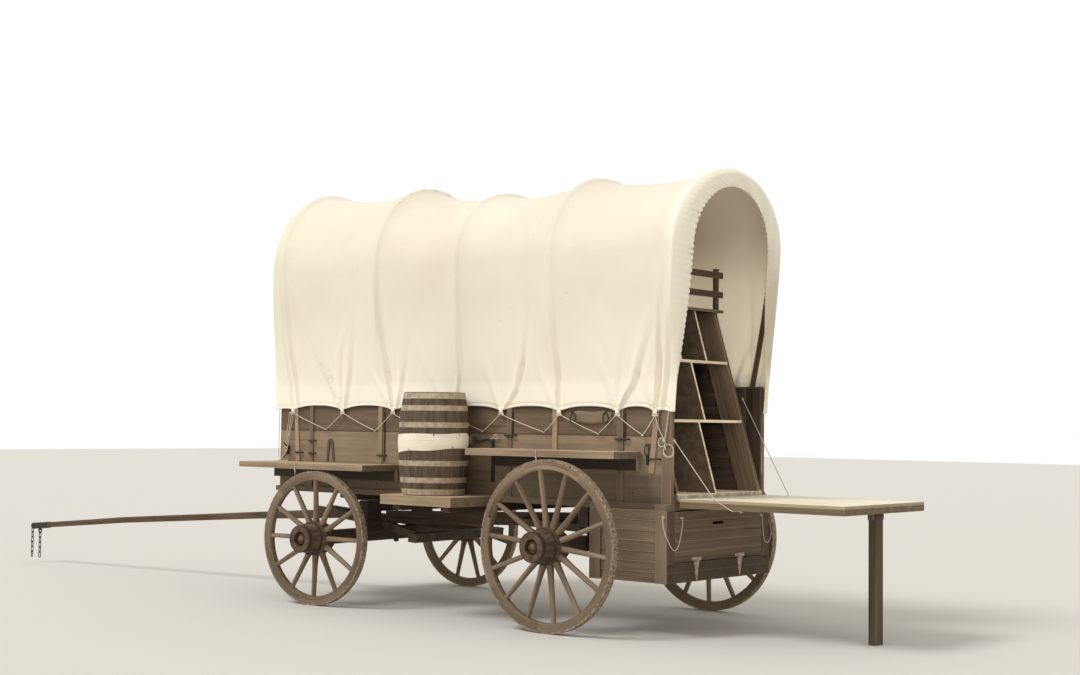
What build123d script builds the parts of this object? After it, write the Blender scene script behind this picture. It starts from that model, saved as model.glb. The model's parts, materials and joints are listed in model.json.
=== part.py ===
from build123d import *

import os
from math import cos, pi, radians, sin, tan

os.makedirs("parts", exist_ok=True)

# Covered wagon fitted out as a camp kitchen. Millimetres, +Z up, floor at Z=0.
# The tongue points along -X, the kitchen end along +X, the near (left) side is -Y.

# Driving dimensions: running gear
half_length = 4940  # from the middle of the wagon to the tongue ring and to the table's end
rear_axle_x = 2750
wheelbase = 2630
steer = 5.2  # degrees the tongue has swung towards the near side as the wagon stands
rim_face_y = 1082.5  # outer face of every tyre
tyre_w = 60
tyre_t = 12
felloe_w = 56
felloe_h = 64
dish = 15
spoke_root = (58, 44)  # along the axle, along the rim
spoke_tip = (44, 36)
spoke_edge = (12, 10)  # chamfers at the root and at the tip
nave_r = 140
nave_ring_r = 108
nave_out = 185  # from the rim's middle to the outer end of the nave
nave_in = 135
skein_r = 36
bore_gap = 0.05
nut_recess_r = 62
nut_recess = 58
axle_beam = (110, 110)
reach_w = 70
reach_h = 110
reach_z = (690, 785)  # middle of the reach over the front axle and over the rear one
king_bolt_r = 12
hound_h = 60
hound_slope = 0.1  # the front hounds rise towards the tongue
sill_h = 44
sill_w = 50

# Driving dimensions: box
box_front_x = -750
box_rear_x = 3550
box_half_w = 610
board_t = 25
floor_z = 957  # underside of the floor
seam_z = 1447  # joint between the lower and the upper side board
box_top_z = 1840

# Driving dimensions: bows and cover
foot_z = 1180
hem_z = 1615
shoulder_z = 2850
bow_half_w = 722
bow_t = 14
bow_w = 42
cover_t = 6
cover_gap = 1
opening_drop = 170  # how far the gathered ends draw in at the crown

# Driving dimensions: kitchen chest
chest_half_w = 560
chest_overhang = 20  # the chest's foot beyond the box
chest_depth = 660
chest_floor_top = 1028
chest_top_z = 2430
chest_lean = 16.7
chest_t = 22

# Driving dimensions: table and leg
table_half_w = 575
table_top_z = 1000
table_t = 20
rail_h = 45
rail_t = 32
hinge_gap = 16
hinge_pin_r = 3
knuckle_r = 6
leaf_t = 3
leg_inset = 154  # from the table's end
leg_y = 140
leg_w = 104
leg_t = 58
leg_pin_r = 6
cheek_t = 25  # cheeks on both sides of the leg's head
cheek_d = 40
cheek_gap = 5
leg_pin_z = 900

# Driving dimensions: boot under the tail
boot_half_w = 686
boot_overhang = 10
boot_depth = 707
boot_bottom_z = 389
boot_t = 20
boot_door_half_w = 575
boot_door_z = 536  # height of the drop door's hinge line
boot_gap = 6
boot_hinge_out = 6  # hinge line in front of the boot's face
hand_slot = (-15, 807, 156, 22)  # middle across, height, width, depth
strap_tip_z = 396

# Driving dimensions: shelves, barrel and its platform
front_shelf = (-785, 773, 440, 1127, 48)  # front x, rear x, depth, underside, thickness
rear_shelf = (1825, 3280, 345, 1284, 51)
platform_x = (1130, 1895)
platform_depth = 550
platform_z = 884
platform_t = 75
barrel_x = 1450
barrel_end_r = 240
barrel_belly_r = 279
barrel_h = 810
stave_t = 22
stave_count = 24
stave_levels = 6
head_t = 20
hoop_t = 3
band_t = 6

# Worked out from them
king_x = rear_axle_x - wheelbase
floor_top = floor_z + board_t
sill_z = floor_z - sill_h
rim_mid_y = rim_face_y - tyre_w / 2
chest_front_x = box_rear_x + chest_overhang
chest_back_x = chest_front_x - chest_depth
boot_rear_x = box_rear_x + boot_overhang
boot_front_x = boot_rear_x - boot_depth
hinge_x = chest_front_x + hinge_gap
boot_hinge_x = boot_rear_x + boot_hinge_out
table_end_x = half_length
leg_x = table_end_x - leg_inset
barrel_y = -(box_half_w + barrel_belly_r + 26)
barrel_z = platform_z + platform_t

gear = Plane(origin=(king_x, 0, 0), x_dir=(cos(radians(steer)), sin(radians(steer)), 0), z_dir=(0, 0, 1))

# Wheels: name, wheel radius, spokes, degrees it has rolled on, side (-1 near, 1 far), whether it steers
wheels = [
    ("front_near", 557, 12, 15, -1, True),
    ("front_far", 557, 12, 0, 1, True),
    ("rear_near", 635, 14, 7.5, -1, False),
    ("rear_far", 635, 14, 0, 1, False),
]
front_wheel_r, rear_wheel_r = wheels[0][1], wheels[2][1]


def wheel_plane(radius, side, steers):
    """Plane in the middle of a rim, with its normal along the axle and away from the wagon."""
    if steers:
        middle = gear.from_local_coords((0, side * rim_mid_y, radius))
        return Plane(origin=middle, x_dir=gear.x_dir * side, z_dir=gear.y_dir * side)
    return Plane(origin=(rear_axle_x, side * rim_mid_y, radius), x_dir=(side, 0, 0), z_dir=(0, side, 0))


# Turned nave, axis along X here: axial place and radius
nave_profile = [
    (nave_out, nave_ring_r),
    (nave_out - 60, nave_ring_r + 5),
    (40, nave_r),
    (-60, nave_r),
    (-nave_in, nave_ring_r),
]

for name, radius, count, rolled, side, steers in wheels:
    place = wheel_plane(radius, side, steers)
    across = Plane(origin=place.origin, x_dir=place.z_dir, z_dir=place.x_dir)
    felloe_r = radius - tyre_t
    rim_in_r = felloe_r - felloe_h

    with BuildPart(place) as tyre:
        Cylinder(radius, tyre_w)
        Cylinder(felloe_r, tyre_w, mode=Mode.SUBTRACT)
    tyre.part.label = f"tyre_{name}"
    export_step(tyre.part, f"parts/tyre_{name}.step")

    with BuildPart(place) as felloes:
        Cylinder(felloe_r, felloe_w)
        Cylinder(rim_in_r, felloe_w, mode=Mode.SUBTRACT)
    felloes.part.label = f"felloes_{name}"
    export_step(felloes.part, f"parts/felloes_{name}.step")

    with BuildPart() as nave:
        with BuildSketch(across):
            with BuildLine():
                Polyline(*nave_profile, (-nave_in, 0), (nave_out, 0), close=True)
            make_face()
        revolve(axis=Axis(place.origin, place.z_dir))
        with BuildSketch(place.offset(-nave_in)):
            Circle(skein_r + bore_gap)
        extrude(amount=nave_in + nave_out, mode=Mode.SUBTRACT)
        with BuildSketch(place.offset(nave_out - nut_recess)):
            Circle(nut_recess_r)
        extrude(amount=nut_recess, mode=Mode.SUBTRACT)
    nave.part.label = f"nave_{name}"
    export_step(nave.part, f"parts/nave_{name}.step")

    # Spokes rise from the nave's belt and lean outwards to the rim by the dish
    with BuildPart() as spokes:
        for k in range(count):
            turn = 360 / count * (k + 0.5) + rolled
            along = place.x_dir * cos(radians(turn)) + place.y_dir * sin(radians(turn))
            root = Plane(
                origin=place.origin + along * (nave_r - 6) - place.z_dir * dish,
                x_dir=place.z_dir,
                z_dir=along,
            )
            tip = Plane(origin=place.origin + along * (rim_in_r + 6), x_dir=place.z_dir, z_dir=along)
            with BuildSketch(root):
                Rectangle(*spoke_root)
                chamfer(vertices(), length=spoke_edge[0])
            with BuildSketch(tip):
                Rectangle(*spoke_tip)
                chamfer(vertices(), length=spoke_edge[1])
            loft(ruled=True)
        with BuildSketch(place.offset(-100)):
            Circle(nave_r)
        extrude(amount=200, mode=Mode.SUBTRACT)
        with BuildSketch(place.offset(-100)):
            Circle(rim_in_r)
        extrude(amount=200, mode=Mode.INTERSECT)
    spokes.part.label = f"spokes_{name}"
    export_step(spokes.part, f"parts/spokes_{name}.step")

# Axle beams with their iron skeins, collars and nuts
skein_in = rim_mid_y - nave_in
for name, axle_plane, radius in (
    ("front_axle", gear, front_wheel_r),
    ("rear_axle", Plane.XY.shift_origin((rear_axle_x, 0, 0)), rear_wheel_r),
):
    centre = axle_plane.from_local_coords((0, 0, radius))
    with BuildPart() as axle:
        for side in (-1, 1):
            out = axle_plane.y_dir * side
            skein = Plane(origin=centre, x_dir=axle_plane.x_dir, z_dir=out)
            with BuildSketch(skein.offset(skein_in - 20)):
                Circle(skein_r)
            extrude(amount=nave_in + nave_out - 18)
            with BuildSketch(skein.offset(skein_in - 22)):
                Circle(58)
            extrude(amount=20)
            with BuildSketch(skein.offset(rim_mid_y + nave_out - nut_recess + 3)):
                RegularPolygon(radius=44, side_count=6)
            extrude(amount=36)
        with BuildSketch(Plane(origin=centre, x_dir=axle_plane.x_dir, z_dir=axle_plane.y_dir)):
            Rectangle(*axle_beam)
        extrude(amount=skein_in - 22, both=True)
        if name == "front_axle":
            with BuildSketch(gear):
                Circle(king_bolt_r + bore_gap)
            extrude(amount=2 * radius, mode=Mode.SUBTRACT)
    axle.part.label = name
    export_step(axle.part, f"parts/{name}.step")

# Reach: the long pole that ties the two axles and rises to the rear one
reach_end = 50
with BuildPart() as reach:
    rise = (reach_z[1] - reach_z[0]) / wheelbase
    with BuildSketch(Plane.XZ):
        with BuildLine():
            x0, x1 = king_x - 2 * reach_end, rear_axle_x + reach_end
            z0, z1 = reach_z[0] - 2 * reach_end * rise, reach_z[1] + reach_end * rise
            Polyline((x0, z0 - reach_h / 2), (x1, z1 - reach_h / 2), (x1, z1 + reach_h / 2), (x0, z0 + reach_h / 2),
                     close=True)
        make_face()
    extrude(amount=reach_w / 2, both=True)
    with BuildSketch(gear):
        Circle(king_bolt_r + bore_gap)
    extrude(amount=1000, mode=Mode.SUBTRACT)
reach.part.label = "reach"
export_step(reach.part, "parts/reach.step")

# Rear hounds brace the axle to the reach, one each side, held between the axle and the bolster
axle_top = rear_wheel_r + axle_beam[1] / 2
hound_meet_x = 1650
with BuildPart() as rear_hounds:
    with BuildSketch(Plane.XY.offset(axle_top)):
        for side in (-1, 1):
            with BuildLine():
                Polyline(
                    (rear_axle_x + 55, side * 320), (rear_axle_x + 55, side * 390), (rear_axle_x - 55, side * 390),
                    (hound_meet_x + 100, side * (reach_w / 2 + 55)), (hound_meet_x, side * (reach_w / 2 + 55)),
                    (hound_meet_x, side * reach_w / 2), (hound_meet_x + 100, side * reach_w / 2),
                    (rear_axle_x - 55, side * 320), close=True,
                )
            make_face()
    extrude(amount=hound_h)
rear_hounds.part.label = "rear_hounds"
export_step(rear_hounds.part, "parts/rear_hounds.step")

# Rear bolster stands on the axle, over the reach and hounds, and carries the box
with BuildPart() as rear_bolster:
    with BuildSketch(Plane.YZ.offset(rear_axle_x - 45)):
        with BuildLine():
            Polyline((-520, axle_top), (520, axle_top), (635, axle_top + 70), (635, sill_z), (-635, sill_z),
                     (-635, axle_top + 70), close=True)
        make_face()
    extrude(amount=90)
    add(reach.part, mode=Mode.SUBTRACT)
    add(rear_hounds.part, mode=Mode.SUBTRACT)
rear_bolster.part.label = "rear_bolster"
export_step(rear_bolster.part, "parts/rear_bolster.step")

# Front gear: axle, sand bolster, hounds with their slider bar, tongue. All turn about the king bolt
front_top = front_wheel_r + axle_beam[1] / 2
sand_z = reach_z[0] + reach_h / 2 + 8
sand_top = 848
with BuildPart() as sand_bolster:
    with BuildSketch(gear.offset(front_top)):
        for side in (-1, 1):
            with Locations((0, side * 355)):
                Rectangle(90, 190)
    extrude(amount=sand_top - front_top)
    with BuildSketch(gear.offset(sand_z)):
        Rectangle(90, 900)
    extrude(amount=sand_top - sand_z)
    with BuildSketch(gear.offset(sand_z)):
        Circle(king_bolt_r + bore_gap)
    extrude(amount=sand_top - sand_z, mode=Mode.SUBTRACT)
sand_bolster.part.label = "sand_bolster"
export_step(sand_bolster.part, "parts/sand_bolster.step")

# Hounds: two beams over the axle, wide at the slider bar behind it, closing on the tongue ahead
hound_rise = Vector(-1, 0, hound_slope).normalized()
hound_dir = gear.x_dir * -hound_rise.X + Vector(0, 0, -hound_rise.Z)
hound_plane = Plane(
    origin=gear.from_local_coords((0, 0, front_top)), x_dir=hound_dir, z_dir=hound_dir.cross(gear.y_dir)
)
with BuildPart() as front_hounds:
    with BuildSketch(hound_plane):
        for side in (-1, 1):
            with BuildLine():
                Polyline(
                    (-900, side * 56), (-900, side * 112), (-90, side * 215), (90, side * 250), (700, side * 545),
                    (700, side * 475), (90, side * 190), (-90, side * 160), (-420, side * 56), close=True,
                )
            make_face()
    extrude(amount=hound_h)
    with BuildSketch(hound_plane.offset(-12)):
        with Locations((690, 0)):
            Rectangle(75, 1240)
    extrude(amount=hound_h + 12)
    with BuildSketch(gear):
        Rectangle(axle_beam[0] + 30, 900)
    extrude(amount=front_top, mode=Mode.SUBTRACT)
    add(sand_bolster.part, mode=Mode.SUBTRACT)
front_hounds.part.label = "front_hounds"
export_step(front_hounds.part, "parts/front_hounds.step")

# Tongue stations, root to tip: distance ahead of the king bolt, height, width, depth
tongue_reach = (half_length + king_x) / cos(radians(steer))  # to the outer edge of the tip's eye
tip_gap = 55
doubletree_ahead = 1150
doubletree_r = 11
tongue_stations = [
    (430, 706, 112, 84),
    (900, 680, 112, 78),
    (1700, 634, 90, 64),
    (3600, 506, 70, 58),
    (tongue_reach - tip_gap, 382, 56, 54),
]
with BuildPart() as tongue:
    for ahead, z, width, depth in tongue_stations:
        station = Plane(origin=gear.from_local_coords((-ahead, 0, z)), x_dir=gear.y_dir, z_dir=gear.x_dir * -1)
        with BuildSketch(station):
            Rectangle(width, depth)
            chamfer(vertices(), length=8)
    loft(ruled=True)
    add(front_hounds.part, mode=Mode.SUBTRACT)
    with BuildSketch(gear.offset(500)):
        with Locations((-doubletree_ahead, 0)):
            Circle(doubletree_r)
    extrude(amount=400, mode=Mode.SUBTRACT)
tongue.part.label = "tongue"
export_step(tongue.part, "parts/tongue.step")

# Front bolster is fixed under the box, on the sand bolster that turns
front_bolster_z = sand_top + 5
with BuildPart() as front_bolster:
    with BuildSketch(Plane.YZ.offset(king_x - 50)):
        with BuildLine():
            Polyline((-470, front_bolster_z), (470, front_bolster_z), (635, front_bolster_z + 25), (635, sill_z),
                     (-635, sill_z), (-635, front_bolster_z + 25), close=True)
        make_face()
    extrude(amount=100)
    with BuildSketch(gear):
        Circle(king_bolt_r)
    extrude(amount=sill_z, mode=Mode.SUBTRACT)
front_bolster.part.label = "front_bolster"
export_step(front_bolster.part, "parts/front_bolster.step")

with BuildPart() as king_bolt:
    with BuildSketch(gear.offset(front_wheel_r - axle_beam[1] / 2 - 30)):
        Circle(king_bolt_r)
    extrude(amount=sill_z - front_wheel_r + axle_beam[1] / 2 + 30)
    with BuildSketch(gear.offset(front_wheel_r - axle_beam[1] / 2 - 24)):
        RegularPolygon(radius=24, side_count=6)
    extrude(amount=20)
king_bolt.part.label = "king_bolt"
export_step(king_bolt.part, "parts/king_bolt.step")

# Sills: two long ones with the cross sills let in between and below the floor
cross_sills = [(-700, 660), (1180, 630), (1845, 630), (boot_front_x + 45, boot_half_w),
               (box_rear_x - 50, boot_half_w)]
with BuildPart() as sills:
    with BuildSketch(Plane.XY.offset(sill_z)):
        for side in (-1, 1):
            with Locations(((box_front_x + box_rear_x) / 2, side * (box_half_w + sill_w - 25 - sill_w / 2))):
                Rectangle(box_rear_x - box_front_x, sill_w)
        for x, half in cross_sills:
            with Locations((x, 0)):
                Rectangle(90, 2 * half)
    extrude(amount=sill_h)
sills.part.label = "sills"
export_step(sills.part, "parts/sills.step")

with BuildPart() as box_floor:
    with BuildSketch(Plane.XY.offset(floor_z)):
        with Locations(((box_front_x + box_rear_x) / 2, 0)):
            Rectangle(box_rear_x - box_front_x, 2 * (box_half_w - board_t))
    extrude(amount=board_t)
box_floor.part.label = "box_floor"
export_step(box_floor.part, "parts/box_floor.step")

for name, low, high in (("side_boards_lower", floor_z, seam_z - 2), ("side_boards_upper", seam_z, box_top_z)):
    with BuildPart() as boards:
        with BuildSketch(Plane.XY.offset(low)):
            for side in (-1, 1):
                with Locations(((box_front_x + box_rear_x) / 2, side * (box_half_w - board_t / 2))):
                    Rectangle(box_rear_x - box_front_x, board_t)
        extrude(amount=high - low)
    boards.part.label = name
    export_step(boards.part, f"parts/{name}.step")

with BuildPart() as front_board:
    with BuildSketch(Plane.YZ.offset(box_front_x)):
        with Locations((0, (floor_top + box_top_z) / 2)):
            Rectangle(2 * (box_half_w - board_t), box_top_z - floor_top)
    extrude(amount=board_t)
front_board.part.label = "front_board"
export_step(front_board.part, "parts/front_board.step")

# Stakes stand against the outside of the side boards: middle, width, foot, head
stakes = [(-330, 40, floor_z, 1780), (1988, 45, floor_z, 1780), (3085, 50, floor_z, 1780), 
          (box_rear_x - 41, 82, floor_z, 1830)]
stake_t = 15
with BuildPart() as side_stakes:
    for x, width, low, high in stakes:
        with BuildSketch(Plane.XY.offset(low)):
            for side in (-1, 1):
                with Locations((x, side * (box_half_w + stake_t / 2))):
                    Rectangle(width, stake_t)
        extrude(amount=high - low)
side_stakes.part.label = "side_stakes"
export_step(side_stakes.part, "parts/side_stakes.step")

# Bows: foot place, crown place, crown height. The end bows lean outwards
bows = [
    (box_front_x + 250, box_front_x + 38, 3615),
    (535, 530, 3575),
    (1465, 1465, 3455),
    (2450, 2460, 3495),
    (box_rear_x - 180, box_rear_x + 75, 3465),
]


def hoop(half, crown, low, foot, steps=7):
    """Half an outline from the foot at height low, bulging up to the shoulder, then round to the crown."""
    side = [(foot, low)]
    for k in range(4):
        z = box_top_z + (shoulder_z - box_top_z) * k / 4
        side.append((foot + (half - foot) * sin(pi / 8 * k), z))
    arch = [
        (half * cos(pi / 2 * k / steps), shoulder_z + (crown - shoulder_z) * sin(pi / 2 * k / steps))
        for k in range(steps + 1)
    ]
    return side + arch


def whole(outline):
    return outline + [(-y, z) for y, z in reversed(outline[:-1])]


def leaning(foot_x, crown_x, crown_z):
    """Plane of a bow across the wagon, local X across and local Y up along its lean, and the stretch of heights."""
    rise = Vector(crown_x - foot_x, 0, crown_z - foot_z)
    place = Plane(origin=(foot_x, 0, foot_z), x_dir=(0, 1, 0), z_dir=Vector(0, 1, 0).cross(rise.normalized()))
    return place, rise.length / (crown_z - foot_z)


def in_plane(outline, stretch):
    return [(y, (z - foot_z) * stretch) for y, z in outline]


bow_foot_y = box_half_w + bow_t + 0.5
with BuildPart() as bow_hoops:
    for foot_x, crown_x, crown_z in bows:
        place, stretch = leaning(foot_x, crown_x, crown_z)
        outer = in_plane(whole(hoop(bow_half_w, crown_z, foot_z, bow_foot_y)), stretch)
        inner = in_plane(whole(hoop(bow_half_w - bow_t, crown_z - bow_t, foot_z, bow_foot_y - bow_t)), stretch)
        with BuildSketch(place):
            with BuildLine():
                Polyline(*outer, *reversed(inner), close=True)
            make_face()
        extrude(amount=bow_w / 2, both=True)
bow_hoops.part.label = "bow_hoops"
export_step(bow_hoops.part, "parts/bow_hoops.step")

# Cover: cloth over the bows, sagging between them, its ends drawn in to an opening
sag = 45
half_bow = bow_w / 2 + 1
# Ends of the cover: place at the bows' feet and at the crown
cover_ends = ((box_front_x - 35, box_front_x + 10), (box_rear_x - 45, box_rear_x + 115))
# Stations: foot place, crown place, crown height, sag, shift along the wagon from the bow's middle
stations = [(*cover_ends[0], bows[0][2], 0, 0)]
for (foot_a, crown_a, z_a), (foot_b, crown_b, z_b) in zip(bows, bows[1:]):
    stations += [
        (foot_a, crown_a, z_a, 0, half_bow),
        ((foot_a + foot_b) / 2, (crown_a + crown_b) / 2, (z_a + z_b) / 2, sag, 0),
        (foot_b, crown_b, z_b, 0, -half_bow),
    ]
stations.append((*cover_ends[1], bows[-1][2], 0, 0))


def cover_section(station, out):
    foot_x, crown_x, crown_z, low, shift = station
    place, stretch = leaning(foot_x, crown_x, crown_z)
    place = place.offset(shift)
    outline = whole(hoop(bow_half_w + out - low / 3, crown_z + out - low, hem_z, bow_foot_y + out))
    return place, in_plane(outline, stretch)


with BuildPart() as cover:
    for out, mode in ((cover_gap + cover_t, Mode.ADD), (cover_gap, Mode.SUBTRACT)):
        for station in stations:
            place, outline = cover_section(station, out)
            with BuildSketch(place):
                with BuildLine():
                    Polyline(*outline, close=True)
                make_face()
        loft(ruled=True, mode=mode)
    for station, towards in ((stations[0], -1), (stations[-1], 1)):
        place, outline = cover_section(station, cover_gap + cover_t)
        opening = whole(hoop(bow_half_w - 112, station[2] - opening_drop, hem_z, bow_foot_y + cover_gap))
        with BuildSketch(place):
            with BuildLine():
                Polyline(*outline, close=True)
            make_face()
            with BuildLine():
                Polyline(*in_plane(opening, leaning(*station[:3])[1]), close=True)
            make_face(mode=Mode.SUBTRACT)
        extrude(amount=cover_t * towards)
cover.part.label = "cover"
export_step(cover.part, "parts/cover.step")
print("cover", cover.part.bounding_box(), "solids", len(cover.part.solids()))

# Kitchen chest: open-fronted, leaning back to its top
lean = tan(radians(chest_lean))
chest_bottom = table_top_z + 3


def chest_face_x(z):
    return chest_front_x - (z - chest_bottom) * lean


with BuildPart() as chest_case:
    for y in (-chest_half_w, chest_half_w - chest_t):
        with BuildSketch(Plane.XZ.offset(-y - chest_t)):
            with BuildLine():
                Polyline(
                    (chest_back_x, chest_bottom), (chest_front_x, chest_bottom),
                    (chest_face_x(chest_top_z), chest_top_z), (chest_back_x, chest_top_z), close=True,
                )
            make_face()
        extrude(amount=chest_t)
    with BuildSketch(Plane.XY.offset(floor_top)):
        with Locations(((chest_back_x + chest_front_x) / 2, 0)):
            Rectangle(chest_front_x - chest_back_x, 2 * chest_half_w)
    extrude(amount=chest_floor_top - floor_top)
    with BuildSketch(Plane.YZ.offset(chest_back_x)):
        with Locations((0, (chest_bottom + chest_top_z) / 2)):
            Rectangle(2 * chest_half_w, chest_top_z - chest_bottom)
    extrude(amount=chest_t)
    with BuildSketch(Plane.XY.offset(chest_top_z)):
        with Locations(((chest_back_x - 10 + chest_face_x(chest_top_z) + 50) / 2, 0)):
            Rectangle(chest_face_x(chest_top_z) + 60 - chest_back_x, 2 * chest_half_w + 50)
    extrude(amount=chest_t)
chest_case.part.label = "chest_case"
export_step(chest_case.part, "parts/chest_case.step")

# Shelf undersides, then dividers: place across, from, to
chest_shelves_z = (1556, 2016)
shelf_t = 20
dividers = [
    (-60, chest_floor_top, chest_shelves_z[0]),
    (30, chest_shelves_z[0] + shelf_t, chest_shelves_z[1]),
    (-90, chest_shelves_z[1] + shelf_t, chest_top_z),
    (250, chest_shelves_z[1] + shelf_t, chest_top_z),
]
inside = chest_half_w - chest_t
with BuildPart() as chest_shelves:
    for z in chest_shelves_z:
        front = chest_face_x(z + shelf_t)
        with BuildSketch(Plane.XY.offset(z)):
            with Locations(((chest_back_x + chest_t + front) / 2, 0)):
                Rectangle(front - chest_back_x - chest_t, 2 * inside)
        extrude(amount=shelf_t)
    for y, low, high in dividers:
        with BuildSketch(Plane.XZ.offset(-y - 9)):
            with BuildLine():
                Polyline(
                    (chest_back_x + chest_t, low), (chest_face_x(low), low), (chest_face_x(high), high),
                    (chest_back_x + chest_t, high), close=True,
                )
            make_face()
        extrude(amount=18)
chest_shelves.part.label = "chest_shelves"
export_step(chest_shelves.part, "parts/chest_shelves.step")

gallery_x = chest_face_x(chest_top_z) + 10
gallery_z = chest_top_z + chest_t
with BuildPart() as chest_gallery:
    with BuildSketch(Plane.XY.offset(gallery_z)):
        with Locations((gallery_x, -530), (gallery_x, 530)):
            Rectangle(30, 40)
    extrude(amount=330)
    for z in (2550, 2705):
        with BuildSketch(Plane.XY.offset(z)):
            with Locations((gallery_x + 15 + 9, 0)):
                Rectangle(18, 1170)
        extrude(amount=50)
chest_gallery.part.label = "chest_gallery"
export_step(chest_gallery.part, "parts/chest_gallery.step")

# Table: the chest's lid, hinged along the chest's foot and let down onto one leg
table_x = hinge_x + knuckle_r + 2
table_hinge_y = (-360, -60, 270)
table_hinge_half = 32
table_leaf = 70
with BuildPart() as table_top:
    with BuildSketch(Plane.XY.offset(table_top_z - table_t)):
        with Locations(((table_x + table_end_x) / 2, 0)):
            Rectangle(table_end_x - table_x, 2 * table_half_w)
    extrude(amount=table_t)
    with BuildSketch(Plane.XY.offset(table_top_z - leaf_t)):
        for y in table_hinge_y:
            with Locations((hinge_x + table_leaf / 2, y)):
                Rectangle(table_leaf, table_hinge_half)
    extrude(amount=leaf_t, mode=Mode.SUBTRACT)
table_top.part.label = "table_top"
export_step(table_top.part, "parts/table_top.step")

frame_under_z = table_top_z - table_t - rail_h
cheek_z = leg_pin_z - cheek_d / 2
bracket_w = leg_w + 2 * (cheek_gap + cheek_t)

with BuildPart() as table_frame:
    with BuildSketch(Plane.XY.offset(frame_under_z)):
        with Locations(((table_x + table_end_x) / 2, 0)):
            Rectangle(table_end_x - table_x, 2 * table_half_w)
            Rectangle(table_end_x - table_x - 2 * rail_t, 2 * (table_half_w - rail_t), mode=Mode.SUBTRACT)
        with Locations((leg_x, leg_y)):
            Rectangle(70, bracket_w)
    extrude(amount=rail_h)
    with BuildSketch(Plane.XZ.offset(-leg_y - bracket_w / 2)):
        with Locations((leg_x, frame_under_z)):
            Rectangle(cheek_d, frame_under_z - cheek_z, align=(Align.CENTER, Align.MAX))
    extrude(amount=bracket_w)
    with BuildSketch(Plane.XZ.offset(-leg_y - leg_w / 2 - cheek_gap)):
        with Locations((leg_x, frame_under_z)):
            Rectangle(cheek_d, frame_under_z - cheek_z, align=(Align.CENTER, Align.MAX))
    extrude(amount=leg_w + 2 * cheek_gap, mode=Mode.SUBTRACT)
    with BuildSketch(Plane.XZ.offset(-leg_y - bracket_w / 2)):
        with Locations((leg_x, leg_pin_z)):
            Circle(leg_pin_r)
    extrude(amount=bracket_w)
table_frame.part.label = "table_frame"
export_step(table_frame.part, "parts/table_frame.step")

with BuildPart() as table_leg:
    with BuildSketch(Plane.XZ.offset(-leg_y - leg_w / 2)):
        with BuildLine():
            foot_a = Polyline((leg_x - leg_t / 2, leg_pin_z), (leg_x - leg_t / 2, 0), (leg_x + leg_t / 2, 0),
                              (leg_x + leg_t / 2, leg_pin_z))
            ThreePointArc(foot_a @ 0, (leg_x, leg_pin_z + leg_t / 2), foot_a @ 1)
        make_face()
        with Locations((leg_x, leg_pin_z)):
            Circle(leg_pin_r + bore_gap, mode=Mode.SUBTRACT)
    extrude(amount=leg_w)
table_leg.part.label = "table_leg"
export_step(table_leg.part, "parts/table_leg.step")

# Boot: a clapboarded locker hung under the tail. A board's face slopes out to its lower edge
clap_pitch = 74.9
clap_step = 7


def clapboards(low, high, out, inner):
    """Closed outline of a lapped wall from low to high: pairs of distance out and height."""
    points = [(inner, low)]
    edge = low
    while edge < high - 1:
        upper = min(edge + clap_pitch, high)
        points += [(out, edge), (out - clap_step, upper)]
        edge = upper
    return points + [(inner, high)]


with BuildPart() as boot_walls:
    for side in (-1, 1):
        with BuildSketch(Plane.YZ.offset(boot_front_x + boot_t)):
            with BuildLine():
                walls = clapboards(boot_bottom_z, sill_z, boot_half_w - 12, boot_half_w - 12 - boot_t)
                Polyline(*[(side * y, z) for y, z in walls], close=True)
            make_face()
        extrude(amount=boot_rear_x - boot_front_x - 2 * boot_t)
    with BuildSketch(Plane.YZ.offset(boot_front_x)):
        with Locations((0, (boot_bottom_z + sill_z) / 2)):
            Rectangle(2 * (boot_half_w - 12), sill_z - boot_bottom_z)
    extrude(amount=boot_t)
    with BuildSketch(Plane.XY.offset(boot_bottom_z + 20)):
        with Locations(((boot_front_x + boot_rear_x) / 2, 0)):
            Rectangle(boot_rear_x - boot_front_x - 2 * boot_t, 2 * (boot_half_w - 12 - boot_t))
    extrude(amount=boot_t)
    with BuildSketch(Plane.XZ.offset(-boot_half_w + 12)):
        with BuildLine():
            walls = clapboards(boot_bottom_z, boot_door_z - boot_gap, boot_rear_x, boot_rear_x - boot_t)
            Polyline(*walls, close=True)
        make_face()
    extrude(amount=2 * (boot_half_w - 12))
boot_walls.part.label = "boot_walls"
export_step(boot_walls.part, "parts/boot_walls.step")

with BuildPart() as boot_posts:
    for side in (-1, 1):
        with BuildSketch(Plane.XY.offset(boot_bottom_z)):
            with Locations((boot_rear_x - 50, side * (boot_half_w - 6)), (boot_front_x + 50, side * (boot_half_w - 6))):
                Rectangle(100, 12)
        extrude(amount=sill_z - boot_bottom_z)
        with BuildSketch(Plane.XY.offset(boot_door_z - boot_gap)):
            with Locations((boot_rear_x - boot_t / 2, side * (boot_door_half_w + boot_gap + boot_half_w - 12) / 2)):
                Rectangle(boot_t, boot_half_w - 12 - boot_door_half_w - boot_gap)
        extrude(amount=sill_z - boot_door_z + boot_gap)
boot_posts.part.label = "boot_posts"
export_step(boot_posts.part, "parts/boot_posts.step")

with BuildPart() as boot_door:
    with BuildSketch(Plane.XZ.offset(-boot_door_half_w)):
        with BuildLine():
            walls = clapboards(boot_door_z + 2, sill_z - boot_gap - 4, boot_rear_x, boot_rear_x - boot_t)
            Polyline(*walls, close=True)
        make_face()
    extrude(amount=2 * boot_door_half_w)
    with BuildSketch(Plane.YZ.offset(boot_rear_x - 2 * boot_t)):
        with Locations(hand_slot[:2]):
            SlotOverall(*hand_slot[2:])
    extrude(amount=3 * boot_t, mode=Mode.SUBTRACT)
boot_door.part.label = "boot_door"
export_step(boot_door.part, "parts/boot_door.step")

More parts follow.
